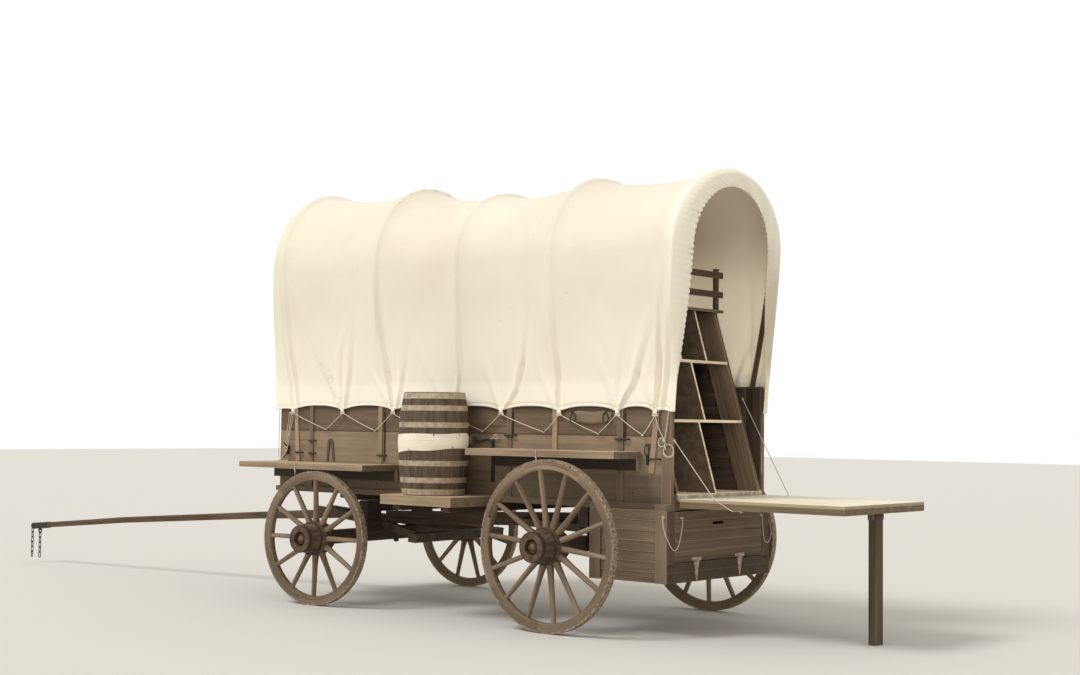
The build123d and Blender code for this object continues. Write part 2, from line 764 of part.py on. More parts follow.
# Hinges of the table and of the boot's door. Boxes are x0, z0, x1, z1 as seen from the near side, plates
# and bars are boxes with their half widths, and a strap has height and half width at its root and its tip
hinge_play = 0.2
hinge_sets = [
    {
        "name": "table_hinge", "axis": (hinge_x, table_top_z), "middles": table_hinge_y,
        "half": table_hinge_half,
        "arm": (chest_front_x, table_top_z - 3, hinge_x, table_top_z + 3),
        "plates": [((chest_front_x, table_top_z - 15, chest_front_x + leaf_t, table_top_z + 15),
                    table_hinge_half)],
        "strap": None,
        "leaf": (hinge_x, table_top_z - leaf_t, hinge_x + table_leaf, table_top_z),
        "bars": [],
        "seats": (chest_case.part, table_top.part),
    },
    {
        "name": "boot_hinge", "axis": (boot_hinge_x, boot_door_z), "middles": (-306, 268), "half": 30,
        "arm": (boot_rear_x, boot_door_z - knuckle_r - 2, boot_rear_x + leaf_t, boot_door_z),
        "plates": [],
        "strap": (boot_door_z - knuckle_r - 1, 30, strap_tip_z, 4),
        "leaf": (boot_rear_x - clap_step, boot_door_z + 2, boot_rear_x + leaf_t, boot_door_z + 30),
        "bars": [((boot_rear_x - clap_step, boot_door_z + knuckle_r + 1, boot_rear_x + leaf_t, boot_door_z + 30),
                  62)],
        "seats": (boot_walls.part, boot_door.part),
    },
]


def box_face(box):
    """Rectangle in the open sketch over the box x0, z0, x1, z1."""
    x0, z0, x1, z1 = box
    with Locations(((x0 + x1) / 2, (z0 + z1) / 2)):
        Rectangle(x1 - x0, z1 - z0)


for row in hinge_sets:
    half, axis = row["half"], row["axis"]
    with BuildPart() as fixed_half:
        for y in row["middles"]:
            for low, high in ((-half, -half / 2 - hinge_play), (half / 2 + hinge_play, half)):
                with BuildSketch(Plane.XZ.offset(-y - high)):
                    with Locations(axis):
                        Circle(knuckle_r)
                    box_face(row["arm"])
                extrude(amount=high - low)
            with BuildSketch(Plane.XZ.offset(-y - half)):
                with Locations(axis):
                    Circle(hinge_pin_r)
            extrude(amount=2 * half)
            for plate, wide in row["plates"]:
                with BuildSketch(Plane.XZ.offset(-y - wide)):
                    box_face(plate)
                extrude(amount=2 * wide)
            if row["strap"]:
                root_z, root_half, tip_z, tip_half = row["strap"]
                with BuildSketch(Plane.YZ.offset(boot_rear_x - clap_step)):
                    with BuildLine():
                        Polyline((y - root_half, root_z), (y + root_half, root_z), (y + tip_half, tip_z),
                                 (y - tip_half, tip_z), close=True)
                    make_face()
                extrude(amount=clap_step + leaf_t)
        add(row["seats"][0], mode=Mode.SUBTRACT)
    fixed_half.part.label = row["name"] + "_fixed"
    export_step(fixed_half.part, f"parts/{row['name']}_fixed.step")

    with BuildPart() as moving_half:
        for y in row["middles"]:
            with BuildSketch(Plane.XZ.offset(-y - half / 2)):
                with Locations(axis):
                    Circle(knuckle_r)
                box_face(row["leaf"])
                with Locations(axis):
                    Circle(hinge_pin_r + bore_gap, mode=Mode.SUBTRACT)
            extrude(amount=half)
            for bar, wide in row["bars"]:
                with BuildSketch(Plane.XZ.offset(-y - wide)):
                    box_face(bar)
                extrude(amount=2 * wide)
        add(row["seats"][1], mode=Mode.SUBTRACT)
    moving_half.part.label = row["name"] + "_leaf"
    export_step(moving_half.part, f"parts/{row['name']}_leaf.step")

# Cords that hold the boot's door when it is let down. Each runs from the corner post round to the
# door's edge and hangs slack while the door is shut. Their points are chosen by hand
cord_d = 8
door_cords = {
    "door_cord_near": [
        (3535, -686.3, 868), (3535, -700.5, 868), (3539, -708, 842), (3548, -708, 795), (3562, -703, 745),
        (3577, -689, 698), (3579, -660, 655), (3578, -622, 625), (3577, -581, 633), (3577, -551, 677),
        (3578, -532, 733), (3578, -519, 790), (3579, -512, 832), (3574, -510, 858), (3558.6, -510, 858),
    ],
    "door_cord_far": [
        (3535, 686.3, 862), (3535, 701, 862), (3540, 709, 836), (3550, 709, 790), (3564, 704, 742),
        (3578, 690, 696), (3580, 668, 652), (3579, 636, 624), (3578, 601, 634), (3578, 580, 676),
        (3579, 568, 728), (3579, 561, 778), (3580, 558, 818), (3575, 557, 844), (3560, 557, 844),
    ],
}
for name, points in door_cords.items():
    spots = [Vector(*point) for point in points]
    runs = [b - a for a, b in zip(spots, spots[1:])]
    radii = [
        0.45 * min(a.length, b.length) / tan(radians(a.get_angle(b)) / 2) for a, b in zip(runs, runs[1:])
    ]
    with BuildPart() as cord:
        with BuildLine() as route:
            FilletPolyline(*points, radius=radii)
        with BuildSketch(Plane(origin=spots[0], z_dir=runs[0])):
            Circle(cord_d / 2)
        sweep(path=route.wires()[0])
    cord.part.label = name
    export_step(cord.part, f"parts/{name}.step")
    round_area = pi * (cord_d / 2) ** 2
    print(name, "radii", [round(r, 1) for r in radii], "length", round(route.wires()[0].length, 1),
          "volume over section and length", round(cord.part.volume / round_area / route.wires()[0].length, 4))

# Spare end of the cover's lacing, tied in loops at the rear corner: middle, outer and inner radius
coil_loops = [((box_rear_x - 16, 1344), 54, 40), ((box_rear_x - 77, 1406), 39, 27)]
with BuildPart() as lacing_coil:
    with BuildSketch(Plane.XZ.offset(box_half_w + stake_t + 0.3)):
        for mode, column in ((Mode.ADD, 1), (Mode.SUBTRACT, 2)):
            for loop in coil_loops:
                with Locations(loop[0]):
                    Circle(loop[column], mode=mode)
    extrude(amount=2 * cord_d)
lacing_coil.part.label = "lacing_coil"
export_step(lacing_coil.part, "parts/lacing_coil.step")
print("coil solids", len(lacing_coil.part.solids()))

# Side shelves with a ledger under each, and the barrel's platform on its two bearers
with BuildPart() as side_shelves:
    for x0, x1, depth, low, thick in (front_shelf, rear_shelf):
        with BuildSketch(Plane.XY.offset(low)):
            with Locations(((x0 + x1) / 2, -box_half_w - stake_t - (depth - stake_t) / 2)):
                Rectangle(x1 - x0, depth - stake_t)
        extrude(amount=thick)
side_shelves.part.label = "side_shelves"
export_step(side_shelves.part, "parts/side_shelves.step")

with BuildPart() as shelf_ledgers:
    for x0, x1, depth, low, thick in (front_shelf, rear_shelf):
        with BuildSketch(Plane.XY.offset(low - 88)):
            with Locations(((x0 + x1) / 2, -box_half_w - stake_t - 19)):
                Rectangle(x1 - x0 - 30, 38)
        extrude(amount=88)
shelf_ledgers.part.label = "shelf_ledgers"
export_step(shelf_ledgers.part, "parts/shelf_ledgers.step")

with BuildPart() as barrel_platform:
    with BuildSketch(Plane.XY.offset(platform_z)):
        with Locations(((platform_x[0] + platform_x[1]) / 2, -box_half_w - sill_w + 25 - 2 - platform_depth / 2)):
            Rectangle(platform_x[1] - platform_x[0], platform_depth)
    extrude(amount=platform_t)
barrel_platform.part.label = "barrel_platform"
export_step(barrel_platform.part, "parts/barrel_platform.step")

with BuildPart() as platform_bearers:
    for x in (platform_x[0] + 120, platform_x[1] - 120):
        with BuildSketch(Plane.YZ.offset(x - 35)):
            with BuildLine():
                Polyline((-1130, platform_z), (-1130, platform_z - 30), (-1080, platform_z - 50), (635, platform_z - 50),
                         (635, sill_z), (-635, sill_z), (-635, platform_z), close=True)
            make_face()
        extrude(amount=70)
platform_bearers.part.label = "platform_bearers"
export_step(platform_bearers.part, "parts/platform_bearers.step")

# Barrel of straight staves: every ring is a polygon with one side to a stave
bulge = barrel_belly_r - barrel_end_r
arc_r = ((barrel_h / 2) ** 2 + bulge**2) / (2 * bulge)
barrel_foot = Plane(origin=(barrel_x, barrel_y, barrel_z))


def stave_r(z):
    """Distance from the barrel's middle to a stave's face at height z above the foot."""
    return barrel_belly_r - arc_r + (arc_r**2 - (z - barrel_h / 2) ** 2) ** 0.5


def stave_ring(z, out):
    """Polygon in the open sketch, out beyond the staves' faces at height z."""
    RegularPolygon(radius=stave_r(z) + out, side_count=stave_count, major_radius=False)


stave_z = [barrel_h * k / stave_levels for k in range(stave_levels + 1)]
with BuildPart() as barrel_outside:
    for z in stave_z:
        with BuildSketch(barrel_foot.offset(z)):
            stave_ring(z, 0)
    loft(ruled=True)

with BuildPart() as barrel:
    add(barrel_outside.part)
    for z in stave_z:
        with BuildSketch(barrel_foot.offset(z)):
            stave_ring(z, -stave_t)
    loft(ruled=True, mode=Mode.SUBTRACT)
    for z in (25, barrel_h - 45):
        with BuildSketch(barrel_foot.offset(z)):
            stave_ring(z, -stave_t / 2)
        extrude(amount=head_t)
barrel.part.label = "barrel"
export_step(barrel.part, "parts/barrel.step")

# Hoops and the pale band round the belly: node, thickness, then lower edges above the foot with widths
wraps = [
    ("barrel_hoops", hoop_t, [(6, 46), (100, 42), (232, 42), (532, 42), (664, 42), (758, 46)]),
    ("barrel_band", band_t, [(345, 120)]),
]
for name, thick, places in wraps:
    with BuildPart() as wrap:
        for z, width in places:
            for level in (z, z + width):
                with BuildSketch(barrel_foot.offset(level)):
                    stave_ring(level, thick)
            loft(ruled=True)
        add(barrel_outside.part, mode=Mode.SUBTRACT)
    wrap.part.label = name
    export_step(wrap.part, f"parts/{name}.step")
    print(name, len(wrap.part.solids()), wrap.part.volume)

# Tongue iron: cap over the tip, an eye at its front and one below, a short chain in each
cap_len = 230
cap_wall = 4
eye_r = 15
eye_out = 25
eye_t = 8
tip_z = tongue_stations[-1][1]
cap_rise = (tongue_stations[-2][1] - tip_z) / (tongue_stations[-1][0] - tongue_stations[-2][0]) * cap_len
front_eye = (tongue_reach - eye_out, tip_z)
low_eye = (tongue_reach - 150, tip_z - 52)
with BuildPart() as tongue_iron:
    for ahead, z in ((tongue_reach - tip_gap + 8, tip_z), (tongue_reach - tip_gap - cap_len, tip_z + cap_rise)):
        with BuildSketch(Plane(origin=gear.from_local_coords((-ahead, 0, z)), x_dir=gear.y_dir,
                               z_dir=gear.x_dir * -1)):
            Rectangle(tongue_stations[-1][2] + 2 * cap_wall + 4, tongue_stations[-1][3] + 2 * cap_wall + 3)
            chamfer(vertices(), length=9)
    loft(ruled=True)
    with BuildSketch(Plane(origin=gear.origin, x_dir=gear.x_dir, z_dir=gear.y_dir)):
        for (ahead, z), (towards_x, towards_z) in ((front_eye, (1, 0)), (low_eye, (0, -1))):
            with Locations((-ahead, -z)):
                Circle(eye_out)
            with Locations((-ahead + 15 * towards_x, -z + 15 * towards_z)):
                Rectangle(30 + 20 * abs(towards_z), 30 + 20 * towards_x)
        for ahead, z in (front_eye, low_eye):
            with Locations((-ahead, -z)):
                Circle(eye_r, mode=Mode.SUBTRACT)
    extrude(amount=eye_t / 2, both=True)
    add(tongue.part, mode=Mode.SUBTRACT)
tongue_iron.part.label = "tongue_iron"
export_step(tongue_iron.part, "parts/tongue_iron.step")
print("iron", tongue_iron.part.bounding_box(), "solids", len(tongue_iron.part.solids()))

wire_r = 4.5
link_in = 52  # inner length, which is also the chain's pitch
link_w = 22.5  # between the wire's middles
link_corner = 7
chain_gap = 0.1
half, top = link_w / 2, link_in / 2 + wire_r
link_path = [(half, corner * (top - link_corner)) for corner in (-1, 1)] + [(half - link_corner, top)]
link_path += [(-x, z) for x, z in reversed(link_path)]
link_path += [(-half + link_corner, -top), (half - link_corner, -top)]
bend_flat = half - link_corner - wire_r * tan(pi / 8)
seat = eye_t / 2 - bend_flat + chain_gap  # the bend rides on the eye's two edges
with BuildPart() as tongue_chains:
    for ahead, eye_z in (front_eye, low_eye):
        for k in range(7):
            z = eye_z - eye_r - link_in / 2 + seat - (link_in - chain_gap) * k
            if z < top + wire_r + 3:
                break
            flat = gear.x_dir if k % 2 else gear.y_dir
            face = Plane(origin=gear.from_local_coords((-ahead, 0, z)), x_dir=flat, z_dir=flat.cross(Vector(0, 0, 1)))
            start = face.from_local_coords((half, 0))
            with BuildLine(face) as path:
                Polyline((half, 0), *link_path[1:], link_path[0], close=True)
            with BuildSketch(Plane(origin=start, x_dir=flat, z_dir=(0, 0, 1))):
                RegularPolygon(radius=wire_r, side_count=6)
            sweep(path=path.wires()[0], transition=Transition.RIGHT)
tongue_chains.part.label = "tongue_chains"
export_step(tongue_chains.part, "parts/tongue_chains.step")
print("chains", tongue_chains.part.bounding_box(), len(tongue_chains.part.solids()))
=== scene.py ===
# %% [markdown]
# # A covered wagon, dressed in Blender
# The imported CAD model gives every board, wheel and hinge its place. This lesson loads it as a
# fixed frame and then adds what a CAD model leaves out: cloth that hangs, rope that is laid up
# in strands, turned wood, forged iron and the weather on all of them.

# %% Load the frame
import bpy, json, math, random
from math import sin, cos, pi, radians
from mathutils import Vector, Matrix, noise


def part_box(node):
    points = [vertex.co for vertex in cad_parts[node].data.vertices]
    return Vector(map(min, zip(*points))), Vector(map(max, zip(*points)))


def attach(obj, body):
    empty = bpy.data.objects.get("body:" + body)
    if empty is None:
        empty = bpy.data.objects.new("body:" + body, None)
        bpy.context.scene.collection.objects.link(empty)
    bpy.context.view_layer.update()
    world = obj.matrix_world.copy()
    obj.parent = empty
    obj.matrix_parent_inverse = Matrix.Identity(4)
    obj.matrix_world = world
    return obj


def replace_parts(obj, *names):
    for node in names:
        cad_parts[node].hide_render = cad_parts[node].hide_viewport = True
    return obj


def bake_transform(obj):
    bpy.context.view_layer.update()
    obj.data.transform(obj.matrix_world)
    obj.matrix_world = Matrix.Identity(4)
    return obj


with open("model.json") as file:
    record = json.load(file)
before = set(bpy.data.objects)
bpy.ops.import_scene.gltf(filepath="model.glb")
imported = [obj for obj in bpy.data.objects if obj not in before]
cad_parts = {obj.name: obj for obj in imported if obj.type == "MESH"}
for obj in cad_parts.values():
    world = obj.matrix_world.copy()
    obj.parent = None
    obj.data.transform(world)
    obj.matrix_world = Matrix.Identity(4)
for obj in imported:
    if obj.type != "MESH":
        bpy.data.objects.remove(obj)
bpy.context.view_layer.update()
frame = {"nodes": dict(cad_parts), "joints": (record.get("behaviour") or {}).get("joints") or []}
scene = bpy.context.scene

# %% [markdown]
# ## The camera
# The camera was not set by eye. Its place was fitted to the wheels, the box and the table
# instead: eye height 1.53 m, a little over 14 m off, looking slightly up, with a roll of two
# thirds of a degree.

# %% Camera
eye = Vector((10.3418, -10.1301, 1.5278))
yaw, pitch, roll = 0.702482, 0.0539546, 0.0118595
frame_width, focal = 1080, 1604.96  # pixels of the picture
ahead = Vector((-cos(pitch) * sin(yaw), cos(pitch) * cos(yaw), sin(pitch)))
level = Vector((cos(yaw), sin(yaw), 0))
upward = level.cross(ahead)
right = level * cos(roll) + upward * sin(roll)
upward = upward * cos(roll) - level * sin(roll)
camera = bpy.data.objects.new("camera", bpy.data.cameras.new("camera"))
scene.collection.objects.link(camera)
camera.matrix_world = Matrix((right, upward, -ahead)).transposed().to_4x4()
camera.location = eye
camera.data.sensor_width = 36
camera.data.lens = focal * camera.data.sensor_width / frame_width
camera.data.clip_end = 200
scene.camera = camera
print("lens", round(camera.data.lens, 2), "mm")

# %% [markdown]
# ## Short ways to add nodes
# Every surface here is a few noises, colour ramps and mixes. Written out node by node they bury
# what matters, so one small class adds a node, sets its sockets and links it in one line.

# %% Node helpers
class Paint:
    """The nodes of a material or of the sky, with short ways to add the ones used here."""

    def __init__(self, owner):
        owner.use_nodes = True
        self.owner, self.tree = owner, owner.node_tree
        self.skin = self.tree.nodes.get("Principled BSDF")

    def feed(self, node, inputs):
        """Set sockets to values, or link them to other nodes' outputs. A colour may leave out its alpha."""
        for socket, value in inputs.items():
            target = node.inputs[socket]
            if isinstance(value, bpy.types.NodeSocket):
                self.tree.links.new(value, target)
            else:
                target.default_value = (*value, 1) if target.type == "RGBA" else value

    def add(self, kind, inputs={}, **settings):
        node = self.tree.nodes.new("ShaderNode" + kind)
        for setting, value in settings.items():
            setattr(node, setting, value)
        self.feed(node, inputs)
        return node

    def at(self, output="Object"):
        return self.add("TexCoord").outputs[output]

    def along(self, letter):
        return self.add("SeparateXYZ", {0: self.at()}).outputs[letter]

    def noise(self, where, scale, detail=2, roughness=0.5):
        inputs = {"Vector": where, "Scale": scale, "Detail": detail, "Roughness": roughness}
        return self.add("TexNoise", inputs).outputs["Fac"]

    def stretched(self, where, axis, long, across, detail, roughness=0.5):
        """Noise whose scale along one axis differs from that across it."""
        size = [across] * 3
        size[axis] = long
        spread = self.add("Mapping", {"Vector": where, "Scale": size})
        return self.noise(spread.outputs[0], 1, detail, roughness)

    def ramp(self, value, low, high, first=(0, 0, 0), last=(1, 1, 1)):
        node = self.add("ValToRGB", {0: value})
        for stop, place, colour in zip(node.color_ramp.elements, (low, high), (first, last)):
            stop.position, stop.color = place, (*colour, 1)
        return node.outputs[0]

    def reach(self, value, start, stop, first=0.0, last=1.0, curve="SMOOTHERSTEP"):
        """A number that goes from first to last while value goes from start to stop."""
        inputs = {"Value": value, "From Min": start, "From Max": stop, "To Min": first, "To Max": last}
        return self.add("MapRange", inputs, interpolation_type=curve).outputs[0]

    def mix(self, share, a, b, blend="MIX"):
        return self.add("Mix", {0: share, 6: a, 7: b}, data_type="RGBA", blend_type=blend).outputs[2]

    def sums(self, operation, a, b):
        return self.add("Math", {0: a, 1: b}, operation=operation).outputs[0]

    def dot(self, a, b):
        return self.add("VectorMath", {0: a, 1: b}, operation="DOT_PRODUCT").outputs["Value"]

    def bump(self, height, strength, distance, under=None):
        inputs = {"Height": height, "Strength": strength, "Distance": distance}
        return self.add("Bump", {**inputs, "Normal": under} if under else inputs).outputs[0]

    def finish(self, **sockets):
        """Set the shader's sockets, named with _ for a space, and give the material back."""
        self.feed(self.skin, {name.replace("_", " "): value for name, value in sockets.items()})
        return self.owner


def new_paint(name):
    return Paint(bpy.data.materials.new(name))


# %% [markdown]
# ## Light and floor
# The day in the picture is overcast: soft light from everywhere, a little stronger from the
# upper left. A pale sky with one wide, soft sun gives that, and a second, weak sun stands low
# behind the eye for the light that open ground throws back. Camera and gloss see plain white.
# The floor is plain and pale.

# %% Light and floor
scene.world = bpy.data.worlds.new("sky")
sky = Paint(scene.world)
light_path = sky.add("LightPath")
seen = light_path.outputs["Is Camera Ray"]
for kind in ("Is Glossy Ray", "Is Transmission Ray"):
    seen = sky.sums("MAXIMUM", seen, light_path.outputs[kind])
daylight = sky.tree.nodes["Background"]
sky.feed(daylight, {"Color": (1.0, 0.965, 0.9), "Strength": 0.72})
white = sky.add("Background", {"Color": (1, 1, 1), "Strength": 1})
both = sky.add("MixShader", {0: seen, 1: daylight.outputs[0], 2: white.outputs[0]})
sky.feed(sky.tree.nodes["World Output"], {0: both.outputs[0]})

# Lamp: its strength, its width in degrees and the way it shines
for name, strength, width, towards in (("soft_sun", 1.62, 20, (0.33, 0.58, -0.84)),
                                       ("low_light", 0.42, 50, (-0.72, 0.66, -0.08))):
    lamp = bpy.data.objects.new(name, bpy.data.lights.new(name, "SUN"))
    lamp.data.energy, lamp.data.angle = strength, radians(width)
    lamp.rotation_mode = "QUATERNION"
    lamp.rotation_quaternion = Vector(towards).to_track_quat("-Z", "Y")
    scene.collection.objects.link(lamp)

reach = 60
floor = bpy.data.objects.new("floor", bpy.data.meshes.new("floor"))
floor.data.from_pydata([(-reach, -reach, 0), (reach, -reach, 0), (reach, reach, 0), (-reach, reach, 0)],
                       [], [(0, 1, 2, 3)])
scene.collection.objects.link(floor)
floor.data.materials.append(new_paint("plain_floor").finish(Base_Color=(0.66, 0.64, 0.6), Roughness=0.95))
scene.view_settings.view_transform = "Standard"

# %% [markdown]
# ## Wood that has stood outside
# A board shows its grain along its length: thin dark lines close together, wide soft bands of
# colour, a few long cracks, and edges worn paler than the faces. Stretched noise gives the
# grain, and the bevel node compares a rounded normal with the true one to find the edges. One
# maker of wood serves every board, told its colour, how it is laid and how worn it is, and where
# light and shade are painted on it: faces turned to the light paler, faces and parts in shade darker.

# %% Wood
def tones(tone):
    return tone if isinstance(tone, tuple) else (tone,) * 3


def wood(name, dark, light, along="X", wear=0.5, lines=1.0, scale=1.0, rough=0.72, painted_light_by_facing=(), fade=()):
    """Weathered wood with its grain along one axis of the wagon, or along the stick itself.

    painted_light_by_facing: (direction, tone) pairs, painted light and shade: how much paler or darker the faces that
    look that way are painted.
    fade: (axis, from, to, tone) rows, how the tone changes along the wagon or up it: mostly painted shade or light,
    and one board's dark seam.
    """
    paint = new_paint(name)
    if along == "grain":
        where, axis = paint.add("Attribute", attribute_name="grain").outputs["Vector"], 0
    else:
        where, axis = paint.at(), "XYZ".index(along)
    fine = paint.stretched(where, axis, 3.5 * scale, 150 * scale, 6, 0.62)
    bands = paint.stretched(where, axis, 0.8 * scale, 16 * scale, 3)
    patches = paint.stretched(where, axis, 1.7, 2.6, 4, 0.6)
    cracks = paint.stretched(where, axis, 1.3 * scale, 70 * scale, 2, 0.4)

    def darken(colour, share, by):
        return paint.mix(share, colour, by, "MULTIPLY")

    colour = paint.mix(paint.ramp(bands, 0.3, 0.7), dark, light)
    colour = darken(colour, 0.55 * lines, paint.ramp(fine, 0.32, 0.6, (0.45, 0.42, 0.4)))
    colour = darken(colour, 0.45, paint.ramp(patches, 0.3, 0.75, (0.55, 0.53, 0.5), (1.15, 1.15, 1.15)))
    crack = paint.ramp(cracks, 0.28, 0.34, (0.2, 0.18, 0.16))
    colour = darken(colour, 0.6 * lines, crack)
    if wear:
        rounded = paint.add("Bevel", {"Radius": 0.006}, samples=3).outputs[0]
        flat = paint.dot(rounded, paint.add("NewGeometry").outputs["Normal"])
        rubbed = [min(1.0, c * 1.9 + 0.05) for c in light]
        colour = paint.mix(paint.ramp(flat, 0.86, 0.99, (wear,) * 3, (0, 0, 0)), colour, rubbed)
    # Painted light and shade, by the way a face turns.
    for direction, tone in painted_light_by_facing:
        towards = paint.dot(paint.at("Normal"), direction)
        colour = darken(colour, 1.0, paint.ramp(towards, 0.6, 0.85, (1, 1, 1), tones(tone)))
    # Painted shade or light along or up the wagon; one row is a board's dark seam.
    for letter, start, stop, tone in fade:
        share = paint.reach(paint.along(letter), start, stop, curve="LINEAR")
        colour = darken(colour, 1.0, paint.ramp(share, 0, 1, (1, 1, 1), tones(tone)))
    height = darken(paint.ramp(fine, 0.25, 0.7), 1.0, crack)
    return paint.finish(Base_Color=colour, Roughness=rough, Specular_IOR_Level=0.25,
                        Normal=paint.bump(height, 0.35, 0.002))


near, far, rear, up, down, leaning = (0, -1, 0), (0, 1, 0), (1, 0, 0), (0, 0, 1), (0, 0, -1), (0.958, 0, 0.287)
# CAD nodes, then their wood: name, dark and light colour, grain, wear, how strong its lines are, and the rest
woods = [
    # Lower side boards: darker below z 1.2, a painted shadow under the side shelves.
    ("box_floor side_boards_lower sills", "box_boards", (0.265, 0.197, 0.13), (0.355, 0.271, 0.181),
     "X", 0.4, 0.5, {"fade": [("Z", 1.2, 1.15, 0.64)]}),
    # Upper side boards: a darker colour, darker still towards the top, painted shade under the cover; the dark band
    # at their foot is the seam between boards.
    ("side_boards_upper", "box_boards_upper", (0.155, 0.107, 0.068), (0.22, 0.156, 0.102),
     "X", 0.4, 0.7, {"fade": [("Z", 1.58, 1.68, 0.6), ("Z", 1.456, 1.449, 0.3)]}),
    ("side_stakes", "box_uprights", (0.17, 0.124, 0.081), (0.27, 0.2, 0.132), "Z", 0.6, 0.7, {}),
    # Ledgers: faces turned near, far and down painted dark, the shadow under the shelves.
    ("shelf_ledgers", "ledger_boards", (0.3, 0.22, 0.145), (0.4, 0.3, 0.2),
     "X", 0.3, 0.6, {"painted_light_by_facing": [(near, 0.16), (far, 0.16), (down, 0.3)]}),
    # Bows: their dark colour is painted shade inside the cover; below z 1.64, out in the light, they are painted
    # paler.
    ("bow_hoops", "bow_wood", (0.085, 0.062, 0.041), (0.15, 0.112, 0.075),
     "Z", 0.4, 0.7, {"fade": [("Z", 1.75, 1.64, 3.3)]}),
    # Boot walls: rear faces painted darker, as shade.
    ("boot_walls", "boot_boards", (0.2, 0.143, 0.091), (0.29, 0.213, 0.14),
     "X", 0.9, 0.8, {"painted_light_by_facing": [(rear, 0.38)]}),
    # Boot door: darker towards the bottom, painted shade.
    ("boot_door", "boot_boards_across", (0.18, 0.132, 0.088), (0.27, 0.2, 0.136),
     "Y", 0.8, 1.0, {"fade": [("Z", 0.61, 0.49, 0.16)]}),
    # Boot posts: rear faces painted darker, as shade.
    ("boot_posts", "boot_posts_wood", (0.205, 0.148, 0.094), (0.29, 0.213, 0.14),
     "Z", 0.4, 0.6, {"painted_light_by_facing": [(rear, 0.5)]}),
    # Chest case: its dark colour is painted shade inside the chest; up and leaning faces painted paler, and the
    # floor's front edge paler still, painted light.
    ("chest_case", "chest_case_boards", (0.045, 0.032, 0.022), (0.085, 0.06, 0.041),
     "Z", 0.7, 1.2, {"painted_light_by_facing": [(up, 5.5), (leaning, 3.0)], "fade": [("Z", 1.045, 1.03, (3.4, 4.1, 4.7))]}),
    # Chest shelves: leaning and upward faces painted paler, the light on their edges and tops.
    ("chest_shelves", "chest_shelf_boards", (0.15, 0.108, 0.072), (0.26, 0.192, 0.128),
     "Y", 0.5, 0.7, {"painted_light_by_facing": [(leaning, (4.6, 5.3, 5.7)), (up, 1.5)]}),
    ("chest_gallery", "rail_wood", (0.085, 0.06, 0.04), (0.15, 0.108, 0.072), "Y", 0.5, 1.0, {}),
    ("front_board platform_bearers rear_bolster front_bolster sand_bolster front_axle rear_axle",
     "gear_timber", (0.045, 0.031, 0.02), (0.095, 0.064, 0.041), "Y", 0.5, 1.0, {}),
    ("reach rear_hounds front_hounds", "gear_timber_long", (0.075, 0.052, 0.034), (0.15, 0.105, 0.068),
     "X", 0.5, 1.0, {}),
    ("tongue", "tongue_pole", (0.085, 0.056, 0.032), (0.15, 0.102, 0.06), "X", 0.5, 1.0, {}),
    # Table: its sides, end and underside painted darker, the shade beside and under its lit top.
    ("table_top barrel_band", "bleached_planks", (0.92, 0.83, 0.65), (1.0, 0.93, 0.76),
     "X", 0.2, 0.25, {"rough": 0.6, "painted_light_by_facing": [(near, (0.47, 0.43, 0.37)), (far, (0.47, 0.43, 0.37)),
                                               (rear, (0.42, 0.385, 0.34)), (down, (0.3, 0.265, 0.22))]}),
    ("table_frame", "table_rails", (0.15, 0.106, 0.066), (0.25, 0.18, 0.114), "X", 0.35, 0.7, {}),
    ("table_leg", "leg_post", (0.085, 0.06, 0.039), (0.15, 0.106, 0.07), "Z", 0.4, 0.8, {}),
    # Side shelves: tops painted paler and rear ends darker, painted light and shade.
    ("side_shelves barrel", "shelf_planks", (0.28, 0.205, 0.133), (0.43, 0.325, 0.218),
     "X", 0.6, 0.7, {"painted_light_by_facing": [(up, 1.5), (rear, 0.55)]}),
    # Barrel platform: tops painted paler and rear ends darker, painted light and shade.
    ("barrel_platform", "platform_planks", (0.29, 0.213, 0.134), (0.41, 0.31, 0.203),
     "X", 0.5, 0.6, {"painted_light_by_facing": [(up, 1.6), (rear, 0.7)]}),
]
finish_of = {}
for covered, *look, rest in woods:
    finish = wood(*look, **rest)
    finish_of.update((node, finish) for node in covered.split())
wheel_wood = wood("wheel_wood", (0.13, 0.092, 0.058), (0.25, 0.185, 0.12), "Z", scale=0.8)
print("woods", len(woods) + 1)

# %% [markdown]
# ## Iron
# Old iron is not one colour: brown rust lies in clouds over a darker skin, with fine pits in it.
# Real iron is a little smoother where hands and chains rub it; here each iron keeps one roughness all over.

# %% Iron
def iron(name, dark, rust, rough, metal, scale=18.0):
    paint = new_paint(name)
    cloud = paint.noise(paint.at(), scale, 6)
    pits = paint.noise(paint.at(), scale * 14)
    return paint.finish(Base_Color=paint.ramp(cloud, 0.35, 0.68, dark, rust), Metallic=metal, Roughness=rough,
                        Normal=paint.bump(pits, 0.25, 0.001))


dark_iron = iron("dark_iron", (0.02, 0.015, 0.011), (0.055, 0.038, 0.025), 0.7, 0.15)
tyre_iron = iron("tyre_iron", (0.11, 0.079, 0.052), (0.4, 0.315, 0.215), 0.7, 0.15, 55.0)
pale_iron = iron("hoop_iron", (0.33, 0.26, 0.172), (0.5, 0.41, 0.29), 0.5, 0.15, 30.0)

# %% [markdown]
# ## Finishes on the CAD pieces
# Each board of the frame keeps its CAD shape and only changes its finish.

# %% Finishes on the CAD nodes
hinges = "table_hinge_fixed table_hinge_leaf boot_hinge_fixed boot_hinge_leaf"
for covered, finish in (("king_bolt tongue_iron tongue_chains", dark_iron), (hinges + " barrel_hoops", pale_iron)):
    finish_of.update((node, finish) for node in covered.split())
for name in frame["nodes"]:
    wheel_part = tyre_iron if name.startswith("tyre") else wheel_wood
    for slot in bpy.data.objects[name].material_slots:
        slot.material = finish_of.get(name, wheel_part)
print("finished", len(frame["nodes"]), "nodes")

